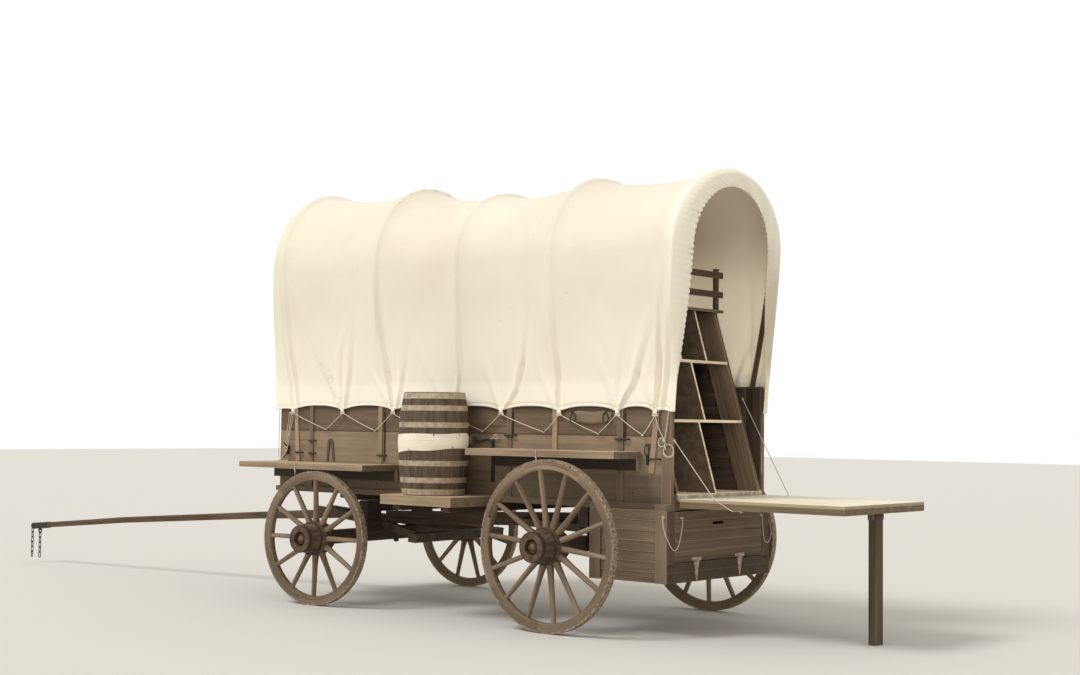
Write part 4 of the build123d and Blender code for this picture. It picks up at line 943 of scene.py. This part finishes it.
# %% [markdown]
# The barrel is held by a broad strap of pale canvas webbing round its belly, 14 cm wide on its
# left and pulled together to 10 cm on its right, where a leather eye ends it. Its middle stands
# out a little from its edges, and it waves where it is slack.

# %% Barrel strap
webbing = wood("strap_webbing", (0.9, 0.82, 0.66), (1.0, 0.95, 0.8), "grain", 0.0, 0.35, 1.3, 0.85)
strap = Stock()
rings, grain = [], []
for k in range(97):
    t = k / 96
    a = radians(-280 + 318 * t)
    left = min(1.0, (radians(40) - a) / radians(176))  # 1 on the left, 0 at the eye
    low = 0.382 - 0.047 * left - 0.004 * sin(5 * a)
    high = 0.489 - 0.008 * left + 0.003 * sin(4 * a + 1)
    if k > 90:
        low, high = low + 0.004 * (k - 90), high - 0.004 * (k - 90)
    face = []
    for u in (0, 0.06, 0.12, 0.3, 0.5, 0.7, 0.88, 0.94, 1):
        z = low + (high - low) * u
        face.append((stave_r(z) + 0.0035 + 0.0014 * sin(9 * a + 6 * u) + 0.002 * (0.12 < u < 0.88), z))
    full = face + [(r - 0.0028, z) for r, z in reversed(face)]
    rings.append([barrel_foot @ Vector((r * cos(a), r * sin(a), z)) for r, z in full])
    grain.append([(a * 0.28, z, r) for r, z in full])
strap.rings(rings, grain)
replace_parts(piece("barrel_strap", strap, webbing, sharp=50, grain=True), "barrel_band")

# %% [markdown]
# ## Rope
# All the rope here is three-strand cotton, 7 to 9 mm thick. Three lobes that turn once in each
# lay give the strands. A taut run is straight between its hooks, and a slack one follows a
# smooth spline through given points.

# %% Rope maker
paint = new_paint("rope_fibre")
tint = paint.ramp(paint.noise(paint.at(), 60), 0, 1, (0.5, 0.42, 0.31), (0.86, 0.78, 0.63))
rope_fibre = paint.finish(Base_Color=tint, Roughness=0.9, Sheen_Weight=0.2)


def spline_points(points):
    """Points along a smooth NURBS spline with these control points."""
    curve = bpy.data.curves.new("route", "CURVE")
    curve.dimensions = "3D"
    curve.resolution_u = 10
    run = curve.splines.new("NURBS")
    run.points.add(len(points) - 1)
    for target, p in zip(run.points, points):
        target.co = (*p, 1)
    run.order_u = 3
    run.use_endpoint_u = True
    holder = bpy.data.objects.new("route", curve)
    scene.collection.objects.link(holder)
    bpy.context.view_layer.update()
    mesh = bpy.data.meshes.new_from_object(holder.evaluated_get(bpy.context.evaluated_depsgraph_get()))
    found = [v.co.copy() for v in mesh.vertices]
    bpy.data.objects.remove(holder)
    bpy.data.meshes.remove(mesh)
    return found


def evenly(points, step):
    """The same line with a point every step."""
    run = [0.0]
    for a, b in zip(points, points[1:]):
        run.append(run[-1] + (Vector(b) - Vector(a)).length)
    return [Vector(points[k]).lerp(Vector(points[k + 1]), t)
            for k, t in even_steps(run, max(2, round(run[-1] / step)))]


def laid(stock, points, d=0.008, lay=0.034, step=0.005, lobes=3, sides=9):
    """Rope of twisted strands along a line."""
    line = evenly(points, step)
    ahead = (line[1] - line[0]).normalized()
    across = ahead.orthogonal().normalized()
    rings = []
    for k, p in enumerate(line):
        nxt = (line[min(k + 1, len(line) - 1)] - line[max(k - 1, 0)]).normalized()
        across = (across - nxt * across.dot(nxt)).normalized()
        up = nxt.cross(across)
        turned = 2 * pi * k * step / lay
        ring = []
        for a in circle(sides):
            r = d / 2 * (0.86 + 0.14 * cos(lobes * a))
            ring.append(p + across * (r * cos(a + turned)) + up * (r * sin(a + turned)))
        rings.append(ring)
    stock.rings(rings)


def knot(stock, at, size, seed=0):
    """A tight overhand knot: a short rope wound on itself."""
    turn = Matrix.Rotation(seed * 1.7, 4, Vector((0.3, 0.5, 0.8)))
    line = []
    for k in range(41):
        t = 2 * pi * k / 40 * 0.93
        p = Vector((sin(t) + 2 * sin(2 * t), cos(t) - 2 * cos(2 * t), -sin(3 * t))) * size / 5.6
        line.append(Vector(at) + turn @ p)
    laid(stock, line, size * 0.42, lay=size * 2, step=size * 0.18)


print("rope maker ready")

# %% [markdown]
# ## Lacing
# Down each side one rope zigzags from the cover's ties to pegs just over the joint of the side
# boards. Each tie is a gathered lump of the hem with the rope through it.

# %% Ties and lacing, both sides
pegs = [-0.127, 0.487, 1.1, 1.719, 2.357, 2.886, 3.303]
rope_y, gather_y = 0.6405, 0.6345  # how far out the rope and the gathered hem lie
peg_z, tie_z = 1.462, 1.612


def peg_height(k):
    """No two pegs are driven in at quite the same height."""
    return peg_z + 0.006 * sin(5 * k)


for side, label in ((-1, "near"), (1, "far")):
    lumps, lines, nails = Stock(), Stock(), Stock()
    y = side * rope_y
    for k, x in enumerate(ties):
        # Pleats drawn together: a small fan, wide above and pinched at the rope
        drop = noise.noise((x * 5, side, 2)) * 0.004
        rings = []
        for step in range(7):
            t = step / 6
            z = tie_z + 0.036 - 0.052 * t + drop
            half = 0.022 - 0.006 * sin(pi * min(1, t * 1.2)) + 0.003 * t
            thick = 0.007 + 0.006 * sin(pi * t)
            rings.append([(x + half * cos(a), side * gather_y + thick * (1 + 0.16 * cos(5 * a + k)) * sin(a), z)
                          for a in circle(20)])
        lumps.rings(rings)
        for turn in (-0.0045, 0.0045):
            laid(lines, [(x + 0.0175 * cos(a), side * gather_y + 0.0155 * sin(a), tie_z + turn + drop)
                         for a in circle(16, 17)], 0.0065)
    zigzag = []
    for k, x in enumerate(ties):
        zigzag.append((x + (0.006 if k % 2 else -0.006), y - side * 0.001, tie_z - 0.006))
        if k < len(pegs):
            zigzag.append((pegs[k], y - side * 0.004, peg_height(k)))
    for a, b in zip(zigzag, zigzag[1:]):
        laid(lines, [Vector(a).lerp(Vector(b), t) - Vector((0, 0, 0.006 * sin(pi * t)))
                     for t in (0, 0.25, 0.5, 0.75, 1)])
    for k, x in enumerate(pegs):
        at = Vector((x, side * 0.609, peg_height(k) + 0.004))
        laid(nails, [at, at + Vector((0, side * 0.034, 0.002)), at + Vector((0, side * 0.036, 0.014))], 0.007,
             step=0.006, lobes=1)
        knot(lines, (x, y, peg_height(k)), 0.016, k)
    piece(f"hem_ties_{label}", lumps, canvas, sharp=60)
    piece(f"lacing_{label}", lines, rope_fibre, sharp=80)
    piece(f"lacing_pegs_{label}", nails, dark_iron, sharp=60)

# %% [markdown]
# At the front the lacing's end goes down to a cleat in two strands. At the rear corner its spare
# end hangs from the tie and from the cover's corner, tied in a bow of loose loops.

# %% Front and rear ends of the lacing
front_end = Stock()
cleat = Vector((-0.635, -0.632, 1.27))
for shift, top in ((0.0, (-0.575, -0.64, 1.605)), (0.014, (-0.548, -0.642, 1.603)),
                   (-0.02, (-0.6, -0.641, 1.61))):
    laid(front_end, [Vector(top), cleat + Vector((shift, -0.006, 0.05))], 0.0075)
turns_on_cleat = [(-0.62, -0.64, 1.31), (-0.61, -0.655, 1.27), (-0.66, -0.655, 1.262), (-0.65, -0.65, 1.31),
                  (-0.605, -0.652, 1.285), (-0.64, -0.655, 1.24), (-0.67, -0.66, 1.2), (-0.69, -0.68, 1.181),
                  (-0.66, -0.72, 1.18), (-0.6, -0.73, 1.18), (-0.56, -0.7, 1.18)]
laid(front_end, spline_points(turns_on_cleat), 0.0075)
laid(front_end, [(-0.763, -0.618, 1.625), (-0.765, -0.618, 1.42), (-0.764, -0.619, 1.2)], 0.007)
knot(front_end, (-0.56, -0.648, 1.598), 0.028, 3)
knot(front_end, (-0.56, -0.7, 1.182), 0.016, 1)
piece("lacing_front_end", front_end, rope_fibre, sharp=80)
cleat_iron = Stock()
round_box(cleat_iron, (-0.645, -0.64, 1.235), (-0.625, -0.61, 1.315), "Z", 0.004)
for z, up in ((1.235, -1), (1.31, 1)):
    laid(cleat_iron, [(-0.635, -0.632, z), (-0.64, -0.65, z + up * 0.012), (-0.65, -0.662, z + up * 0.03)], 0.012,
         step=0.01, lobes=1)
piece("cleat", cleat_iron, dark_iron, sharp=60)

bow_rope = [(3.5, -0.642, 1.43)]
coil_middle, small_middle = Vector((3.534, 0, 1.344)), Vector((3.473, 0, 1.406))
for turn, (radius, depth, shift) in enumerate(((0.047, 0.63, -0.002), (0.044, 0.639, 0.004))):
    for k in range(12):
        a = radians(118 - 30 * k)
        bow_rope.append((coil_middle.x + shift + radius * cos(a), -depth - 0.0025 * sin(a * 2),
                         coil_middle.z + radius * sin(a) * 1.04 + shift))
for k in range(13):
    a = radians(-40 - 30 * k)
    bow_rope.append((small_middle.x + 0.033 * cos(a), -0.6335, small_middle.z + 0.033 * sin(a)))
bow_rope += [(3.502, -0.64, 1.415), (3.508, -0.644, 1.4), (3.516, -0.645, 1.35)]
path = spline_points(bow_rope)
loops = Stock()
laid(loops, path, 0.008)
coil = piece("lacing_loops", loops, rope_fibre, sharp=80)
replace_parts(coil, "lacing_coil")
rear_end = Stock()
laid(rear_end, [(3.412, -0.641, 1.605), (3.455, -0.642, 1.5), (3.5, -0.641, 1.425)], 0.008)
laid(rear_end, [(3.535, -0.637, 1.63), (3.522, -0.641, 1.52), (3.504, -0.641, 1.425)], 0.008)
knot(rear_end, (3.502, -0.647, 1.418), 0.024, 2)
piece("lacing_rear_end", rear_end, rope_fibre, sharp=80)

# %% [markdown]
# The boot's door has a cord on each side, from the corner post to the door's edge. While the
# door is shut they hang in a slack U. Each follows the route that the CAD part settled.

# %% Door cords
door_cords = {
    "door_cord_near": [
        (3.535, -0.6863, 0.868), (3.535, -0.7005, 0.868), (3.539, -0.708, 0.842), (3.548, -0.708, 0.795),
        (3.562, -0.703, 0.745), (3.577, -0.689, 0.698), (3.579, -0.66, 0.655), (3.578, -0.622, 0.625),
        (3.577, -0.581, 0.633), (3.577, -0.551, 0.677), (3.578, -0.532, 0.733), (3.578, -0.519, 0.79),
        (3.579, -0.512, 0.832), (3.574, -0.51, 0.858), (3.5586, -0.51, 0.858),
    ],
    "door_cord_far": [
        (3.535, 0.6863, 0.862), (3.535, 0.701, 0.862), (3.54, 0.709, 0.836), (3.55, 0.709, 0.79),
        (3.564, 0.704, 0.742), (3.578, 0.69, 0.696), (3.58, 0.668, 0.652), (3.579, 0.636, 0.624),
        (3.578, 0.601, 0.634), (3.578, 0.58, 0.676), (3.579, 0.568, 0.728), (3.579, 0.561, 0.778),
        (3.58, 0.558, 0.818), (3.575, 0.557, 0.844), (3.56, 0.557, 0.844),
    ],
}
for name, points in door_cords.items():
    path = spline_points(points)
    line, ends_of = Stock(), Stock()
    laid(line, path, 0.008)
    cord = piece(name + "_laid", line, rope_fibre, "boot_door", 80)
    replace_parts(cord, name)
    knot(ends_of, Vector(points[0]) + Vector((0, 0.008 if points[0][1] > 0 else -0.008, 0)), 0.02, 1)
    knot(ends_of, Vector(points[-1]) + Vector((0.008, 0, 0)), 0.02, 4)
    knots = piece(name + "_knots", ends_of, rope_fibre, "boot_door", 80)

# %% [markdown]
# Two ropes help to carry the table: one from a hook on the chest's near side, one from the far
# side. Each goes to the table's edge, under it, and ends in a knot. Neither is tied to a body, so
# neither moves when the table is put up.

# %% Table ropes
table_ropes = {
    "table_rope_near": [(3.58, -0.622, 1.418), (3.9, -0.581, 1.005), (4.05, -0.581, 0.93),
                        (4.07, -0.5, 0.9285)],
    "table_rope_far": [(3.385, 0.57, 1.745), (3.8, 0.581, 1.005), (3.83, 0.581, 0.93), (3.84, 0.5, 0.9285)],
}
for name, line in table_ropes.items():
    stay = Stock()
    for a, b in zip(line, line[1:]):
        laid(stay, [a, b], 0.008)
    knot(stay, line[-1], 0.024, 2)
    knot(stay, line[0], 0.02, 5)
    rope = piece(name, stay, rope_fibre, None, 80)
    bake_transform(rope)  # its points are kept in the shared frame; it rides on no body

# %% [markdown]
# ## Irons on the sides
# The bows stand in staples, and iron rods run down beside them. These are smith's work: round
# bar, bent hot, with the marks of the hammer left as slight waves.

# %% Irons on both sides
def bar(stock, points, d, step=0.02):
    """Round bar, hammered a little flat: two lobes that hardly turn."""
    laid(stock, points, d, lay=10, step=step, lobes=2, sides=8)


board_y, staple_y, rod_y = 0.609, 0.6345, 0.619  # in the board, the staple's outer bar, the rod's middle
# Staple: its middle, its height and its width. Rod: its place, its top and its foot
staples = [(-0.49, 1.255, 0.07), (-0.32, 1.36, 0.07), (-0.32, 1.25, 0.066), (0.555, 1.25, 0.08), (2.0, 1.437, 0.09),
           (3.1, 1.425, 0.1), (3.395, 1.283, 0.085)]
rods = [(-0.318, 1.62, 1.185), (0.584, 1.62, 1.2), (2.019, 1.62, 1.425), (3.124, 1.62, 1.41)]
for side, label in ((-1, "near"), (1, "far")):
    irons = Stock()
    for x, z, width in staples:
        outer, foot_y, half = side * staple_y, side * board_y, width * 0.62
        bar(irons, [(x - half, foot_y, z), (x - half + 0.002, outer, z), (x + half - 0.002, outer, z),
                    (x + half, foot_y, z)], 0.015)
    for x, high, low in rods:
        bar(irons, [(x, side * rod_y, high), (x + 0.002, side * rod_y, (high + low) / 2),
                    (x, side * rod_y, low)], 0.011)
    piece(f"side_irons_{label}", irons, dark_iron, sharp=50)

# %% Near side: iron strap with the barrel's hook, hasp, leather loop, hung plank
fittings = Stock()
round_box(fittings, (1.795, -0.6165, 1.065), (1.83, -0.6095, 1.4), "Z", 0.0015)
bar(fittings, [(1.812, -0.612, 1.385), (1.812, -0.65, 1.385), (1.808, -0.66, 1.4), (1.803, -0.65, 1.412)], 0.01)
# Hasp: an oval ring hanging from its staple, and the bar under it
oval = [(3.335 + 0.02 * sin(a), -0.628 - 0.002 * cos(a), 1.345 + 0.044 * cos(a)) for a in circle(24, 25)]
bar(fittings, oval, 0.011, 0.008)
round_box(fittings, (3.322, -0.622, 1.24), (3.342, -0.6095, 1.31), "Z", 0.002)
bar(fittings, [(3.31, -0.611, 1.385), (3.332, -0.629, 1.391), (3.356, -0.611, 1.385)], 0.009)
piece("near_irons", fittings, dark_iron, sharp=50)

leather = new_paint("old_leather").finish(Base_Color=(0.11, 0.075, 0.05), Roughness=0.6)
thong = Stock()
line = spline_points([(-0.125, -0.616, 1.19), (-0.118, -0.618, 1.26), (-0.108, -0.62, 1.33), (-0.1, -0.622, 1.375),
                      (-0.08, -0.622, 1.385), (-0.066, -0.62, 1.36), (-0.06, -0.618, 1.3), (-0.052, -0.618, 1.24),
                      (-0.045, -0.618, 1.19)])
half_w, half_t = 0.012, 0.002
thong.rings([[p + Vector((0, dy, 0)) + Vector((dx, 0, 0)) for dx, dy in
              ((-half_w, -half_t), (half_w, -half_t), (half_w, half_t), (-half_w, half_t))]
             for p in evenly(line, 0.01)])
piece("leather_thong", thong, leather, sharp=60)

# A worn plank with bent ends, hung on the upper board by two rings
plank = Stock()
rings, grain = [], []
for k in range(25):
    t = k / 24
    x = 2.595 + 0.405 * t
    pinch = 1 - 0.28 * abs(2 * t - 1) ** 4
    z, half = 1.583 + 0.006 * sin(9 * t), 0.047 * pinch
    ring = [(x, -0.6105 - 0.022 * c * pinch, z + half * s) for c, s in
            ((0, -1), (0.6, -0.97), (1, -0.7), (0.84, 0.0), (1, 0.7), (0.6, 0.97), (0, 1))]
    rings.append(ring)
    grain.append([(x, p[1], p[2]) for p in ring])
plank.rings(rings, grain)
piece("worn_plank", plank, worn_board, sharp=50, grain=True)
hangers = Stock()
for x in (2.64, 2.955):
    ring = [(x + 0.026 * cos(a), -0.637 - 0.004 * sin(2 * a), 1.585 + 0.04 * sin(a)) for a in circle(20, 21)]
    bar(hangers, ring, 0.009, 0.008)
    bar(hangers, [(x, -0.611, 1.633), (x, -0.64, 1.63), (x, -0.642, 1.61)], 0.008)
piece("plank_hangers", hangers, dark_iron, sharp=50)

# %% [markdown]
# The strap's right end is rolled into a dark leather eye. A short chain runs from it to the
# hook on the box, where two turns of cord keep it.

# %% Barrel ring and chain
links_stock = Stock()
eye_at = Vector((1.69, -0.737, 1.389))


def link(stock, a, b, turn):
    """One chain link stretched from a to b, turned about that line."""
    d, half = 0.006, 0.011  # the bar's thickness and half the link's width
    ahead = (b - a).normalized()
    across = Matrix.Rotation(turn, 3, ahead) @ ahead.orthogonal().normalized()
    length = (b - a).length / 2 + d
    middle = (a + b) / 2
    outline = []
    for t in circle(24):
        reach = math.copysign(max(0, length - half), cos(t)) + half * cos(t)
        outline.append(middle + ahead * reach + across * (half * sin(t)))
    rings = []
    for k, p in enumerate(outline):
        tangent = (outline[(k + 1) % 24] - outline[k - 1]).normalized()
        side = tangent.cross(ahead.cross(across)).normalized()
        up = tangent.cross(side)
        rings.append([p + side * (d / 2 * cos(a)) + up * (d / 2 * sin(a)) for a in circle(7)])
    stock.rings(rings, close=True)


chain_from, chain_to = eye_at + Vector((0.03, 0.004, 0)), Vector((1.808, -0.655, 1.407))
hang, count = 0.008, 7
hung = [chain_from.lerp(chain_to, t) + Vector((0, 0, -hang * 4 * t * (1 - t)))
        for t in [k / count for k in range(count + 1)]]
for k in range(count):
    link(links_stock, hung[k], hung[k + 1], pi / 2 * (k % 2) + 0.3)
piece("barrel_chain", links_stock, dark_iron, sharp=60)
eye = Stock()
lathe(eye, [(0.012, 0.004), (0.036, 0.006), (0.044, 0.0), (0.046, 0.012), (0.045, 0.028), (0.041, 0.032),
            (0.037, 0.03), (0.033, 0.016), (0.01, 0.014)],
      28, Matrix.Translation(eye_at) @ Matrix.Rotation(pi / 2, 4, "Y"))
piece("strap_eye", eye, leather, sharp=40)
turns = Stock()
for x, z, size in ((1.848, 1.423, 0.019), (1.872, 1.428, 0.016)):
    laid(turns, [(x + size * 0.8 * cos(a), -0.632 - 0.012 * sin(a), z + size * sin(a))
                 for a in circle(20)], 0.007)
laid(turns, [(1.812, -0.655, 1.41), (1.835, -0.64, 1.416), (1.86, -0.632, 1.412), (1.885, -0.622, 1.42)], 0.007)
piece("hook_cord", turns, rope_fibre, sharp=80)

# %% [markdown]
# ## Inside the kitchen chest
# The chest's back is nailed up from level boards, each with its own grain, and so is its far
# wall, with a stile along the leaning front edge. Each lining board is a thin plank laid over
# the CAD wall between two shelves, so the joints and the odd colours are real.

# %% Back boards and side planks of the chest
# Back, lining and corner boards: their dark colour is painted shade, the shade deep inside the chest and the box.
back_board = wood("chest_back_boards", (0.045, 0.031, 0.021), (0.125, 0.09, 0.06), "grain", 0.4, 1.4)
side_board = wood("chest_side_planks", (0.2, 0.147, 0.098), (0.34, 0.255, 0.172), "grain")
corner_board = wood("corner_boards", (0.05, 0.036, 0.025), (0.11, 0.08, 0.055), "grain", 0.7, 1.2)
lining_board = wood("chest_lining_boards", (0.055, 0.039, 0.026), (0.13, 0.094, 0.062), "grain", 0.4, 1.4)
lean_of = math.tan(radians(16.7))
floor_top, top_z, back_x, inner = 1.028, 2.43, 2.932, 0.538
levels = [(floor_top, 1.556, (-0.06,)), (1.576, 2.016, (0.03,)), (2.036, top_z, (-0.09, 0.25))]


def front_x(z):
    return 3.57 - (z - 1.003) * lean_of


backs, sides_in, stiles = Stock(), Stock(), Stock()
for low, high, posts in levels:
    count = max(3, round((high - low) / 0.115))
    for k in range(count):
        z0 = low + 0.001 + (high - low - 0.002) * k / count
        z1 = low - 0.001 + (high - low + 0.001) * (k + 1) / count
        edges = [-inner] + list(posts) + [inner]
        for a, b in zip(edges, edges[1:]):
            round_box(backs, (back_x, a + 0.0095, z0),
                      (back_x + 0.004 + 0.0015 * (k % 2), b - 0.0095, z1 - 0.0015), "Y", seed=k * 3.1 + low * 7)
    # The far wall: a stile along the leaning front edge, and level planks behind it
    rings, grain = [], []
    for z in (low + 0.001, high - 0.001):
        a, b = front_x(z) - 0.185, front_x(z) - 0.002
        rings.append([(a, inner - 0.0005, z), (b, inner - 0.0005, z), (b, inner - 0.014, z), (a, inner - 0.014, z)])
        grain.append([(z, x + z * lean_of, y) for x, y, _ in rings[-1]])
    stiles.rings(rings, grain)
    for k in range(count):
        z0, z1 = low + (high - low) * k / count + 0.001, low + (high - low) * (k + 1) / count - 0.0015
        front = front_x(z1) - 0.187
        if front > back_x + 0.03:
            round_box(sides_in, (back_x + 0.008, inner - 0.005 - 0.002 * (k % 2), z0),
                      (front, inner - 0.0005, z1), "X", seed=k * 2.3 + low * 5)
for name, stock, material in (("chest_back_planks", backs, back_board),
                              ("chest_side_lining", sides_in, lining_board), ("chest_stile_far", stiles, side_board)):
    piece(name, stock, material, sharp=40, grain=True)

# %% Corner boards inside the box's far side
corner = Stock()
for k, (x0, x1) in enumerate(((3.02, 3.145), (3.15, 3.275), (3.28, 3.405), (3.41, 3.545))):
    round_box(corner, (x0, 0.5795, 0.985), (x1 - 0.003, 0.5848, 1.835 - 0.006 * (k % 2)), "Z", seed=k * 4)
piece("far_corner_planks", corner, corner_board, sharp=40, grain=True)

# %% [markdown]
# Small things that hands have left: a loop of string knotted over the edge of each side shelf,
# and the heads of the bolts that hold the shelves' ledgers.

# %% Strings and bolt heads
bits, heads = Stock(), Stock()
for x, edge, top, under in ((-0.047, -1.05, 1.175, 1.127), (2.55, -0.955, 1.335, 1.284)):
    laid(bits, [(x, edge + 0.05, top + 0.003), (x, edge - 0.004, top + 0.003),
                (x + 0.002, edge - 0.005, under - 0.003), (x + 0.004, edge - 0.003, under - 0.05)], 0.006)
    laid(bits, [(x + 0.004, edge - 0.004, under - 0.005), (x + 0.012, edge - 0.007, under - 0.03)], 0.005)
    knot(bits, (x + 0.002, edge - 0.006, under - 0.008), 0.014, 2)
piece("shelf_strings", bits, rope_fibre, sharp=80)
face_y = 0.6105  # the side boards' outer face
# Bolts through the sides: their places, their heights, and the radius and height of their heads
for along, heights, radius, height in (((-0.62, -0.25, 0.12, 0.49), (1.075, 1.012), 0.009, 0.005),
                                       ((-0.4, 0.3, 0.95, 1.35, 1.7, 2.3, 2.75, 3.2), (1.03,), 0.007, 0.004)):
    for x in along:
        for z in heights:
            for side in (-1, 1):
                dome(heads, (x, side * face_y, z), (0, side, 0), radius, height)
for k in range(7):  # the posts' nails
    for side in (-1, 1):
        dome(heads, (3.5605, side * 0.63, 0.44 + 0.075 * k), (1, 0, 0), 0.0045, 0.0025)
piece("bolt_heads", heads, dark_iron, sharp=50)

# %% Sizes and the end
print("triangles", sum(triangles.values()))
